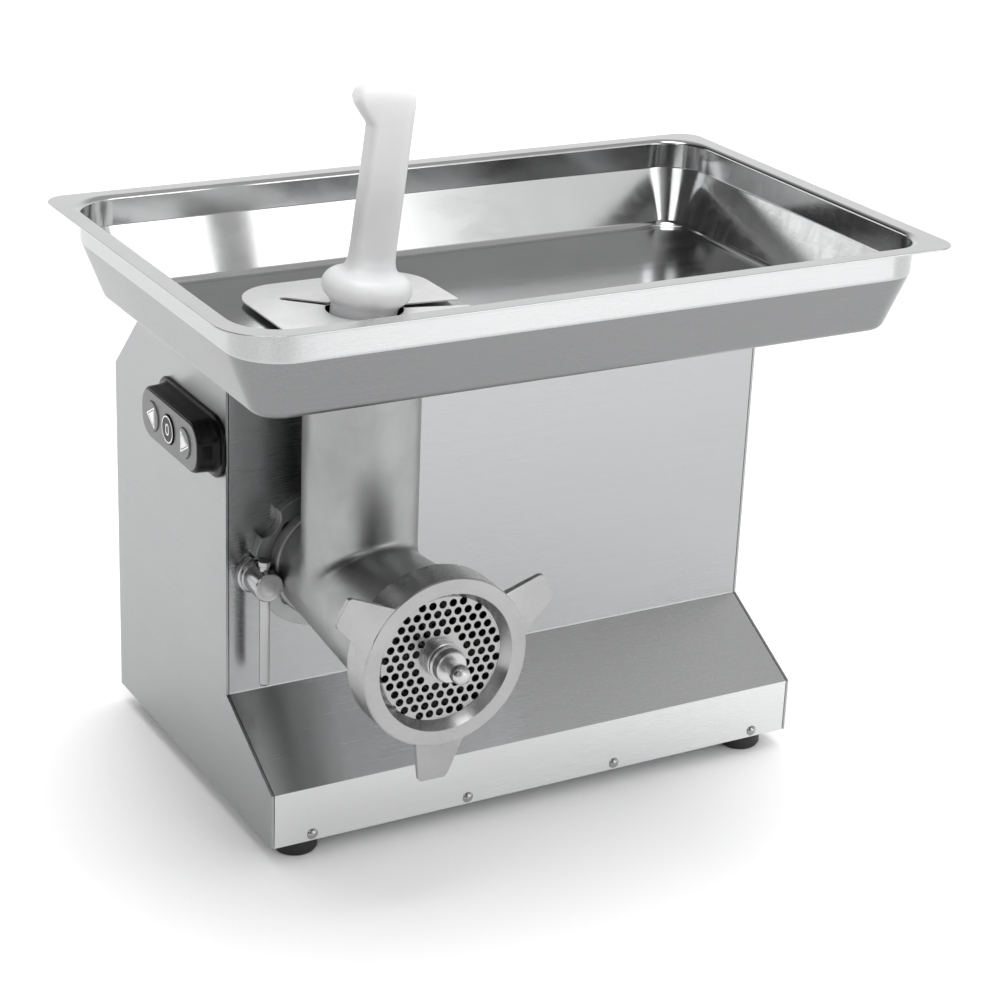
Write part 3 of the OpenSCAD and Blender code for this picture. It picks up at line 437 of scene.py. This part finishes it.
def piece(name, mesh_data, materials, body, place=(0, 0, 0), turn=None, sharp=35.0):
    """A smooth-shaded object from machine millimetres, at a place, riding on a body."""
    verts, faces = mesh_data
    mesh = bpy.data.meshes.new(name)
    turn = turn or Matrix.Identity(3)
    mesh.from_pydata([at(*(turn @ Vector(v) + Vector(place))) for v in verts], [], faces)
    bm = bmesh.new()
    bm.from_mesh(mesh)
    bmesh.ops.remove_doubles(bm, verts=bm.verts, dist=1e-7)
    bmesh.ops.recalc_face_normals(bm, faces=bm.faces)
    bm.to_mesh(mesh)
    bm.free()
    obj = bpy.data.objects.new(name, mesh)
    bpy.context.scene.collection.objects.link(obj)
    for material in materials if isinstance(materials, (list, tuple)) else [materials]:
        mesh.materials.append(material)
    smooth(mesh, sharp)
    if body:
        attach(obj, body)
    return obj


def smooth(mesh, sharp):
    """Shades a mesh smooth, except across edges sharper than an angle in degrees."""
    mesh.shade_smooth()
    mesh.set_sharp_from_angle(angle=math.radians(sharp))


def bevel(obj, width):
    """Rounds an object's sharp edges by a width in millimetres."""
    modifier = obj.modifiers.new("bevel", "BEVEL")
    modifier.width = width * MM
    modifier.segments = 2
    modifier.limit_method = "ANGLE"
    modifier.angle_limit = math.radians(35)
    weighted = obj.modifiers.new("weighted", "WEIGHTED_NORMAL")
    weighted.keep_sharp = False
    weighted.weight = 80


def soften(node, width):
    """Rounds the edges of a carried-over CAD node, whose faces come apart at the edges."""
    obj = NODES[node]
    weld = obj.modifiers.new("weld", "WELD")
    weld.merge_threshold = 2e-6
    flat = obj.modifiers.new("flat", "DECIMATE")
    flat.decimate_type = "DISSOLVE"
    flat.angle_limit = math.radians(0.2)
    bevel(obj, width)


def applied(obj):
    """Bakes an object's modifiers into its mesh."""
    depsgraph = bpy.context.evaluated_depsgraph_get()
    mesh = bpy.data.meshes.new_from_object(obj.evaluated_get(depsgraph))
    obj.modifiers.clear()
    obj.data = mesh
    return mesh


def cut(obj, cutters):
    """Takes closed cutter objects out of an object, and deletes them."""
    for cutter in cutters:
        modifier = obj.modifiers.new("cut", "BOOLEAN")
        modifier.operation = "DIFFERENCE"
        modifier.solver = "EXACT"
        modifier.object = cutter
    applied(obj)
    for cutter in cutters:
        bpy.data.objects.remove(cutter)


# ---- Feed tray: one pressed sheet ----

RIM_W = 13.0
TRAY_T = 1.5
BAND_H = 22.0
BAND_CORNER = 36.0
BAND_INSET = RIM_W + TRAY_T
SLOPE_RUN = 17.0
FLOOR_STRIP = 9.0  # flat floor beside the slope, before the sheet narrows to the spout
BENDS = (3.2, 4.0, 7.0)  # radii from rim to band, band to slope, slope to floor
SPOUT_BEND = 2.5
SPOUT_START = 6.0  # how far outside the spout its bend's flat start lies
RIM_CORNERS = (17.0, 17.0, 40.0, 17.0)  # the near left one is rounder
SPOUT_R = 36.0
SPOUT_DROP = 12.0

tray_low, tray_high = machine_box("feed_tray")
tray_middle = (tray_low + tray_high) / 2
tray_half = (tray_high - tray_low) / 2
rim_z = tray_high.z
floor_z = machine_box("guard_spacers")[0].z


def tray_loop(inset, z):
    """The tray's outline at an inset from the rim's edge; past the band its corners are conical."""
    share = min(inset / BAND_INSET, 1.0)
    shrink = max(inset - BAND_INSET, 0.0)
    inner = BAND_CORNER - TRAY_T - shrink
    radii = tuple(r + (inner - r) * share for r in RIM_CORNERS)
    loop = rounded_loop(tray_half.x - inset, tray_half.y - inset, radii, steps=10, sides=(40, 24))
    return [(tray_middle.x + p.x, tray_middle.y + p.y, z) for p in loop]


def make_tray():
    """The sheet from rim to spout. Outside, its slope is painted darker than its band and floor: painted
    shade.
    """
    foot = BAND_INSET + SLOPE_RUN
    band_foot_z = rim_z - BAND_H
    section = rounded_path([
        (0, rim_z), (BAND_INSET, rim_z), (BAND_INSET, band_foot_z), (foot, floor_z),
        (foot + FLOOR_STRIP, floor_z),
    ], BENDS, steps=6)
    loops = [tray_loop(inset, z) for inset, z in section]
    directions = [(Vector((x - AXIS_X, y - NECK_Y))).normalized() for x, y, _ in loops[-1]]
    spout_foot = floor_z - TRAY_T - SPOUT_DROP
    spout = [(SPOUT_R + SPOUT_START, floor_z), (SPOUT_R, floor_z), (SPOUT_R, spout_foot)]
    for radius, z in rounded_path(spout, (SPOUT_BEND,)):
        loops.append([(AXIS_X + d.x * radius, NECK_Y + d.y * radius, z) for d in directions])
    inside = FINISHES["polished_sheet"]
    tray = piece("tray_sheet", loft(loops), [inside, OUTER_TRAY, inside, TRAY_SLOPE_PAINTED_SHADE], "tray", sharp=50)
    # The slope's outside takes the darker copy of the outer sheet: painted shade
    slope_top = band_foot_z - 3
    for face in tray.data.polygons:
        tilted = face.normal.z < 0.97
        if tilted and (face.center - ORIGIN).z / MM < slope_top:
            face.material_index = 2
    thickness = tray.modifiers.new("thickness", "SOLIDIFY")
    thickness.thickness = TRAY_T * MM
    thickness.offset = -1.0
    thickness.use_even_offset = True
    thickness.material_offset = 1  # the outside takes the material after the inside's
    thickness.material_offset_rim = 1
    bevel(tray, 0.35)
    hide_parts("feed_tray")


# ---- Head: neck and barrel blended by a fillet ----

NECK_R = 43.0
NECK_BORE_R = 38.0
BARREL_FRONT_R = 53.0
BARREL_REAR_R = 42.0
BORE_FRONT_R = 46.0
BORE_REAR_R = 36.5
SADDLE = 6.0  # how far the fillet between neck and barrel reaches

BOSS_R = 8.0  # the small swelling on the barrel's right
BOSS_HALF = 8.0  # half its length along the barrel, without its round ends
BOSS_Y = 5.0
BOSS_RISE = 14.0  # its height above the worm's axis
BOSS_SADDLE = 5.0

COLLAR_R = 44.5
COLLAR_DEPTH = 11.6
SHAFT_HOLE_R = 26.0
KNOB_RELIEF_R = 12.9

THREAD_R = 56.0
THREAD_DEPTH = 0.9
THREAD_TURNS = 6
THREAD_CHAMFER = 1.0
THREAD_BORE_R = 47.5
PLATE_SEAT_R = 49.7
PLATE_SEAT_DEPTH = 8.0

RING_DEPTH = 28.0
RING_GAP = 1.5  # between the ring nut and the casting behind it

head_low, head_high = machine_box("head_casting")
COLLAR_Y = head_high.y - COLLAR_DEPTH
BARREL_FRONT_Y = machine_box("ring_nut")[0].y + RING_DEPTH + RING_GAP
NECK_TOP = head_high.z


def smooth_union(first, second, reach):
    """The nearer of two distances, with a fillet where they meet."""
    blend = np.clip(0.5 + 0.5 * (second - first) / reach, 0.0, 1.0)
    return second * (1 - blend) + first * blend - reach * blend * (1 - blend)


def head_distance(points):
    """Signed distance, in millimetres, from the outside of the blended casting."""
    x, y, z = points.T - np.array([[AXIS_X], [0.0], [AXIS_Z]])
    along = (y - BARREL_FRONT_Y) / (COLLAR_Y - BARREL_FRONT_Y)
    barrel = np.hypot(x, z) - (BARREL_FRONT_R + (BARREL_REAR_R - BARREL_FRONT_R) * along)
    neck = np.maximum(np.hypot(x, y - NECK_Y) - NECK_R, -z)
    across = np.hypot(x - BARREL_FRONT_R + BOSS_R, z - BOSS_RISE)
    boss = np.hypot(across, np.maximum(np.abs(y - BOSS_Y) - BOSS_HALF, 0)) - BOSS_R
    return smooth_union(smooth_union(barrel, neck, SADDLE), boss, BOSS_SADDLE)


def settle(mesh, distance, rounds=5, step=0.05):
    """Moves a mesh's vertices onto the zero surface of a distance function."""
    points = np.array([v.co for v in mesh.vertices])
    machine = (points - np.array(ORIGIN)) / MM
    for _ in range(rounds):
        here = distance(machine)
        slope = np.stack([(distance(machine + step * np.eye(3)[i]) - here) / step for i in range(3)], 1)
        length = np.maximum((slope**2).sum(1, keepdims=True), 0.2)
        machine = machine - here[:, None] * slope / length
    mesh.vertices.foreach_set("co", (machine * MM + np.array(ORIGIN)).ravel())
    mesh.update()


UPRIGHT = Matrix.Rotation(math.radians(90), 3, "X")  # turns a lathe's axis from y to z
SPARE = 12.0  # how much longer the blended skin is than the casting, at each end
VOXEL = 2.0  # grid of the blended skin


def joined_skin():
    """The barrel and the neck as one closed skin with a fillet between them."""
    steel = FINISHES["cast_steel"]
    barrel = lathe([(BARREL_FRONT_R, BARREL_FRONT_Y - SPARE), (BARREL_REAR_R, COLLAR_Y + SPARE)], 64)
    neck = lathe([(NECK_R, 0.0), (NECK_R, NECK_TOP + SPARE - AXIS_Z)], 64)
    skin = piece("head_body", barrel, steel, None, (AXIS_X, 0, AXIS_Z))
    stem = piece("head_stem", neck, steel, None, (AXIS_X, NECK_Y, AXIS_Z), UPRIGHT)
    bm = bmesh.new()
    bm.from_mesh(skin.data)
    bm.from_mesh(stem.data)
    bm.to_mesh(skin.data)
    bm.free()
    bpy.data.objects.remove(stem)
    remesh = skin.modifiers.new("remesh", "REMESH")
    remesh.mode = "VOXEL"
    remesh.voxel_size = VOXEL * MM
    applied(skin)
    settle(skin.data, head_distance)
    return skin


def trim(mesh, planes):
    """Cuts a closed mesh off outside (place, outward normal) planes, and closes it there."""
    bm = bmesh.new()
    bm.from_mesh(mesh)
    for place, normal in planes:
        geometry = bm.verts[:] + bm.edges[:] + bm.faces[:]
        done = bmesh.ops.bisect_plane(
            bm, geom=geometry, plane_co=place, plane_no=normal, clear_outer=True, dist=1e-6)
        rim = [e for e in done["geom_cut"] if isinstance(e, bmesh.types.BMEdge)]
        bmesh.ops.holes_fill(bm, edges=rim, sides=0)
    bm.to_mesh(mesh)
    bm.free()


def head_body():
    """The barrel and neck, cut to length and bored through."""
    steel = FINISHES["cast_steel"]
    body = joined_skin()
    trim(body.data, [
        (at(0, BARREL_FRONT_Y, 0), (0, -1, 0)),
        (at(0, COLLAR_Y, 0), (0, 1, 0)),
        (at(0, 0, NECK_TOP), (0, 0, 1)),
    ])
    along = lathe([(BORE_FRONT_R, BARREL_FRONT_Y - 5), (BORE_REAR_R, COLLAR_Y + 5)])
    down = lathe([(NECK_BORE_R, 0.0), (NECK_BORE_R, NECK_TOP + SPARE - AXIS_Z)])
    cut(body, [
        piece("barrel_bore", along, steel, None, (AXIS_X, 0, AXIS_Z)),
        piece("neck_bore", down, steel, None, (AXIS_X, NECK_Y, AXIS_Z), UPRIGHT),
    ])
    body.data.materials.clear()
    body.data.materials.append(steel)
    smooth(body.data, 40)
    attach(body, "housing")
    return body


def head_collar():
    """The rear collar, relieved beside the locking knob."""
    steel = FINISHES["cast_steel"]
    step_r = BARREL_REAR_R - 1
    front_y, rear_y = COLLAR_Y - 2, head_high.y
    outside = rounded_path([
        (BORE_REAR_R, front_y), (step_r, front_y), (step_r, COLLAR_Y), (COLLAR_R, COLLAR_Y),
        (COLLAR_R, rear_y), (SHAFT_HOLE_R, rear_y),
    ], (0.1, 0.1, 1.2, 0.8), steps=3)
    inside = [Vector((SHAFT_HOLE_R, COLLAR_Y + 4)), Vector((BORE_REAR_R, front_y))]
    collar = piece("head_collar", lathe(outside + inside, 128, False), steel, None, (AXIS_X, 0, AXIS_Z))
    relief = lathe([(KNOB_RELIEF_R, COLLAR_Y - 0.5), (KNOB_RELIEF_R, rear_y + 1)], 64)
    cut(collar, [piece("knob_relief", relief, steel, None, (KNOB_X, 0, KNOB_Z))])
    smooth(collar.data, 35)
    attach(collar, "housing")
    return collar


def head_thread():
    """The threaded mouth under the ring nut, with the cutting plate's seat in it."""
    start, end = BARREL_FRONT_Y - 0.5, head_low.y
    steps = 2 * THREAD_TURNS
    crests = [
        (THREAD_R - THREAD_DEPTH * (step % 2), start + (end + THREAD_CHAMFER - start) * step / steps)
        for step in range(steps + 1)
    ]
    seat_y = end + PLATE_SEAT_DEPTH
    profile = [
        (THREAD_BORE_R, start), *crests, (THREAD_R - THREAD_CHAMFER, end), (PLATE_SEAT_R, end),
        (PLATE_SEAT_R, seat_y), (THREAD_BORE_R, seat_y), (THREAD_BORE_R, start),
    ]
    return piece("head_thread", lathe(profile, 128, False), FINISHES["turned_steel"], "housing",
                 (AXIS_X, 0, AXIS_Z))


def make_head():
    """The head casting, as three pieces."""
    for part in (head_body(), head_collar(), head_thread()):
        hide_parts("head_casting")


# ---- Pusher ----

PUSHER_LEAN = 7.0


def make_pusher():
    """The pusher, lofted along its own leaning axis; heights are above the guard plate."""
    # Round sections from the plunger's foot to the bulb: height, radius
    plunger = [
        (-90, 16), (-90, 20.5), (-88.6, 23), (-86, 24), (-60, 24), (-30, 24), (0, 24), (3, 24.4),
        (5.5, 26), (8.5, 29.5), (12, 32.2), (16, 33), (20, 32.2), (23.5, 29.6),
    ]
    # Flat sections from the bulb to the hooked top: height, left, right, half depth, corner radius
    grip = [
        (26, 26, 26, 26, 25), (27.2, 22, 22, 20, 17), (29.5, 18.4, 19.4, 13.6, 11),
        (34, 16.2, 17.8, 10.4, 7.5), (42, 15.2, 17.1, 9.3, 5.5), (60, 15, 17, 9, 5), (85, 15, 17, 9, 5),
        (110, 15, 17, 9, 5), (128, 15, 17, 9, 5), (131.4, 15.1, 17, 9, 5), (133, 16, 17, 9, 5),
        (138, 20.4, 17, 9, 5), (143, 24.8, 17, 9, 5), (147.5, 28, 17, 9, 5), (151.5, 28.8, 17, 9, 5),
        (155.5, 27.6, 16.4, 8.8, 5), (159, 24, 13.9, 7.6, 4.6), (160.7, 19.5, 10, 5, 3.6),
        (161, 15, 6, 3, 2.4),
    ]
    sections = [(height, r, r, r, r) for height, r in plunger] + grip
    loops = []
    for height, left, right, depth, radius in sections:
        loop = rounded_loop((left + right) / 2, depth, min(radius, depth), steps=7)
        loops.append([(p.x + (right - left) / 2, p.y, height) for p in loop])
    lean = Matrix.Rotation(math.radians(PUSHER_LEAN), 3, "Y")
    guard_top = machine_box("guard_plate")[1].z
    pusher = piece("pusher_body", loft(loops, caps=True), FINISHES["white_plastic"], "pusher",
                   (AXIS_X, NECK_Y, guard_top), lean, sharp=80)
    rounding = pusher.modifiers.new("rounding", "SUBSURF")
    rounding.levels = rounding.render_levels = 2
    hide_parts("pusher")


# ---- Controls ----

MARK_T = 0.12  # how far the marks stand out of the buttons
LIP_HALF_LENGTH = 61.5  # the widest section below, which is fitted to the CAD housing's box
LIP_HALF_HEIGHT = 24.0
# Each button's node, and the body it moves with
KEYS = {"reverse_button": "reverse_key", "forward_button": "forward_key", "stop_button": "stop_key"}


def make_shell():
    """The control housing: base lip, rounded body, and the opening round its face plate."""
    low, high = machine_box("control_housing")
    centre = (low + high) / 2
    face_x = machine_box("button_plate")[1].x
    grow_length = (high.y - low.y) / 2 - LIP_HALF_LENGTH
    grow_height = (high.z - low.z) / 2 - LIP_HALF_HEIGHT
    # x, half length, half height, corner radius; from the base lip to the face and into the opening
    sections = [
        (0, 61.3, 23.8, 20), (-2.0, 61.5, 24, 20), (-2.8, 61.1, 23.6, 19.8), (-3.2, 60.2, 22.9, 19.2),
        (-3.1, 57.4, 22.1, 18.4), (-3.6, 55.6, 21.2, 17.8), (-5.2, 54.6, 20.6, 17.3),
        (-9, 54.0, 20.2, 17.1), (-16.6, 53.5, 19.9, 17), (-17.9, 53.2, 19.6, 16.8),
        (-18.7, 52.6, 19.0, 16.4), (face_x, 51.7, 18.1, 15.6), (face_x, 50.4, 16.9, 14.4),
        (face_x + 2.5, 50.2, 16.7, 14.2), (-1.0, 50.2, 16.7, 14.2), (0, 50.2, 16.7, 14.2),
    ]
    loops = []
    for x, half_length, half_height, radius in sections:
        loop = rounded_loop(half_length + grow_length, half_height + grow_height,
                            min(radius, half_height - 0.01), steps=12)
        loops.append([(x, centre.y + p.x, centre.z + p.y) for p in loop])
    loops.append(loops[0])
    shell = piece("control_shell", loft(loops), FINISHES["black_plastic"], "housing", sharp=50)
    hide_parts("control_housing")


def triangle(reach, side, steps=3):
    """A triangle with rounded corners at a distance from the middle, pointing to +y or -y."""
    turns = (0.0, math.tau / 3, -math.tau / 3)
    corners = [Vector((side * math.cos(t), math.sin(t))) * reach for t in turns]
    points = []
    for i, corner in enumerate(corners):
        before, after = corners[i - 1], corners[(i + 1) % 3]
        near_before, near_after = corner.lerp(before, 0.06), corner.lerp(after, 0.06)
        for step in range(steps + 1):
            share = step / steps
            points.append(near_before.lerp(corner, share).lerp(corner.lerp(near_after, share), share))
    return points


def oval_band(half_y, half_z, radius, width):
    """The two outlines of a band of a given width round an oval."""
    outer = rounded_loop(half_y, half_z, radius, steps=16)
    return outer, rounded_loop(half_y - width, half_z - width, radius - width, steps=16)


def flat_ring(outer, inner, thickness):
    """A closed band between two outlines of the same length in the y-z plane, thick along -x."""
    n = len(outer)
    loops = [(outer, 0.0), (inner, 0.0), (inner, -thickness), (outer, -thickness)]
    verts = [(depth, p[0], p[1]) for loop, depth in loops for p in loop]
    faces = []
    for row in range(4):
        following = ((row + 1) % 4) * n
        for i in range(n):
            j = (i + 1) % n
            faces.append((row * n + i, row * n + j, following + j, following + i))
    return verts, faces


def make_marks():
    """White marks on the buttons: ring and oval for stop, solid triangles in outlines for the others."""
    for node, body in KEYS.items():
        low, high = machine_box(node)
        centre = (low + high) / 2
        if node == "stop_button":
            marks = [oval_band(10.6, 10.6, 10.6, 0.9), oval_band(3.1, 4.6, 3.1, 1.1)]
        else:
            side = 1 if centre.y > middle("control_housing", 1) else -1
            outline = (triangle(10.4, side), triangle(8.2, side))
            solid = (triangle(6.6, side), triangle(0.05, side))
            marks = [outline, solid]
        for index, (outer, inner) in enumerate(marks):
            mark = piece(f"{body}_mark_{index}", flat_ring(outer, inner, MARK_T), MARK_WHITE, body,
                         (low.x, centre.y, centre.z), sharp=30)


make_tray()
make_head()
make_pusher()
make_shell()
make_marks()

# ---- Softened edges of the CAD nodes: widths in millimetres ----

SOFT_EDGES = {
    "left_side_panel": 0.5, "right_side_panel": 0.5, "front_panel": 0.7, "top_plate": 0.5,
    "rear_cover": 0.5, "ring_nut": 0.7, "cutting_plate": 0.18, "worm_pin": 0.35, "guard_plate": 0.4,
    "locking_knob": 0.35, "tommy_bar": 0.4, "hub_flange": 0.9, "rubber_feet": 0.9, "button_plate": 0.25,
    "cable_gland": 0.4, "forward_button": 0.5, "stop_button": 0.5, "reverse_button": 0.5,
    "apron_screws": 0.15, "rear_cover_screws": 0.15, "guard_spacers": 0.3,
}
for node, width in SOFT_EDGES.items():
    soften(node, width)

# ---- Studio ----

FLOOR_HALF = 14.0
SKY = [(0.0, 1.0), (0.4, 0.95), (0.65, 0.5), (1.0, 0.48)]  # height of the direction, brightness
SIDE = [(0.3, 0.08), (0.6, 1.0)]  # the same from left (0) to right (1)
CENTRE = Vector((0.0, 0.0, 0.3))


def make_floor():
    """White paper under the machine."""
    half = FLOOR_HALF
    mesh = bpy.data.meshes.new("studio_floor")
    corners = [(-half, -half, 0), (half, -half, 0), (half, half, 0), (-half, half, 0)]
    mesh.from_pydata(corners, [], [(0, 1, 2, 3)])
    floor = bpy.data.objects.new("studio_floor", mesh)
    bpy.context.scene.collection.objects.link(floor)
    paper = Surface("studio_paper", (0.93, 0.93, 0.93))
    paper.roughness(0.7, (paper.noise(40.0), 0.05))
    mesh.materials.append(paper.material)


def ramp_of(tree, stops, fac):
    """Brightness read off (position, value) stops by a factor."""
    node = tree.nodes.new("ShaderNodeValToRGB")
    while len(node.color_ramp.elements) < len(stops):
        node.color_ramp.elements.new(0.5)
    for element, (position, value) in zip(node.color_ramp.elements, stops):
        element.position = position
        element.color = (value, value, value, 1.0)
    tree.links.new(fac, node.inputs["Fac"])
    return node.outputs["Color"]


def make_world():
    """Shaded surroundings for the metal to reflect, which the camera itself sees as plain white."""
    world = bpy.data.worlds.new("studio")
    world.use_nodes = True
    bpy.context.scene.world = world
    tree = world.node_tree
    facing = tree.nodes.new("ShaderNodeTexCoord").outputs["Generated"]
    split = tree.nodes.new("ShaderNodeSeparateXYZ")
    tree.links.new(facing, split.inputs[0])
    sideways = tree.nodes.new("ShaderNodeMath")
    sideways.operation = "MULTIPLY_ADD"
    sideways.inputs[1].default_value = 0.5
    sideways.inputs[2].default_value = 0.5
    tree.links.new(split.outputs["X"], sideways.inputs[0])
    product = tree.nodes.new("ShaderNodeVectorMath")
    product.operation = "MULTIPLY"
    tree.links.new(ramp_of(tree, SKY, split.outputs["Z"]), product.inputs[0])
    tree.links.new(ramp_of(tree, SIDE, sideways.outputs[0]), product.inputs[1])
    seen = tree.nodes.new("ShaderNodeMix")
    seen.data_type = "RGBA"
    seen.inputs[7].default_value = (1.0, 1.0, 1.0, 1.0)
    tree.links.new(tree.nodes.new("ShaderNodeLightPath").outputs["Is Camera Ray"], seen.inputs[0])
    tree.links.new(product.outputs[0], seen.inputs[6])
    background = tree.nodes["Background"]
    tree.links.new(seen.outputs[2], background.inputs["Color"])
    background.inputs["Strength"].default_value = 1.0


def softbox(name, place, size, power):
    """A rectangular area light that faces the machine's middle."""
    light = bpy.data.lights.new(name, "AREA")
    light.shape = "RECTANGLE"
    light.size, light.size_y = size
    light.energy = power
    lamp = bpy.data.objects.new(name, light)
    lamp.location = place
    lamp.rotation_euler = (CENTRE - Vector(place)).to_track_quat("-Z", "Y").to_euler()
    bpy.context.scene.collection.objects.link(lamp)


def overhead(name, power, angle, direction, in_metal=True):
    """Even light from far above, which may be kept out of the metal's reflections."""
    light = bpy.data.lights.new(name, "SUN")
    light.energy = power
    light.angle = math.radians(angle)
    lamp = bpy.data.objects.new(name, light)
    lamp.visible_glossy = in_metal
    lamp.rotation_euler = Vector(direction).to_track_quat("-Z", "Y").to_euler()
    bpy.context.scene.collection.objects.link(lamp)


make_floor()
make_world()
softbox("high_right", (0.6, -2.0, 1.1), (0.9, 0.7), 3.8)
softbox("low_right", (1.35, -2.3, 0.35), (1.3, 0.5), 5.5)
softbox("fill_left", (-1.9, -1.6, 1.6), (1.2, 1.2), 8.0)
softbox("back_left", (-1.6, 2.4, 0.7), (1.4, 0.9), 6.0)
overhead("overhead", 1.2, 34, (0.04, 0.06, -0.99))
overhead("ceiling", 2.2, 120, (0.0, 0.05, -1.0), in_metal=False)

# ---- Camera ----

AZIMUTH = math.radians(-29.985)
ELEVATION = math.radians(22.244)
ROLL = math.radians(2.44)
CAMERA_PLACE = Vector((-0.8646, -1.5783, 0.9819))
LENS = 90.4
SENSOR = 36.0

backward = Vector((
    math.sin(AZIMUTH) * math.cos(ELEVATION),
    -math.cos(AZIMUTH) * math.cos(ELEVATION),
    math.sin(ELEVATION),
))
right = Vector((math.cos(AZIMUTH), math.sin(AZIMUTH), 0.0))
up = backward.cross(right)
rolled_right = right * math.cos(ROLL) + up * math.sin(ROLL)
rolled_up = up * math.cos(ROLL) - right * math.sin(ROLL)
camera = bpy.data.objects.new("camera", bpy.data.cameras.new("camera"))
camera.data.lens = LENS
camera.data.sensor_width = SENSOR
camera.matrix_world = Matrix.Translation(CAMERA_PLACE) @ Matrix(
    (rolled_right, rolled_up, backward)).transposed().to_4x4()
bpy.context.scene.collection.objects.link(camera)
bpy.context.scene.camera = camera
bpy.context.scene.view_settings.view_transform = "Standard"
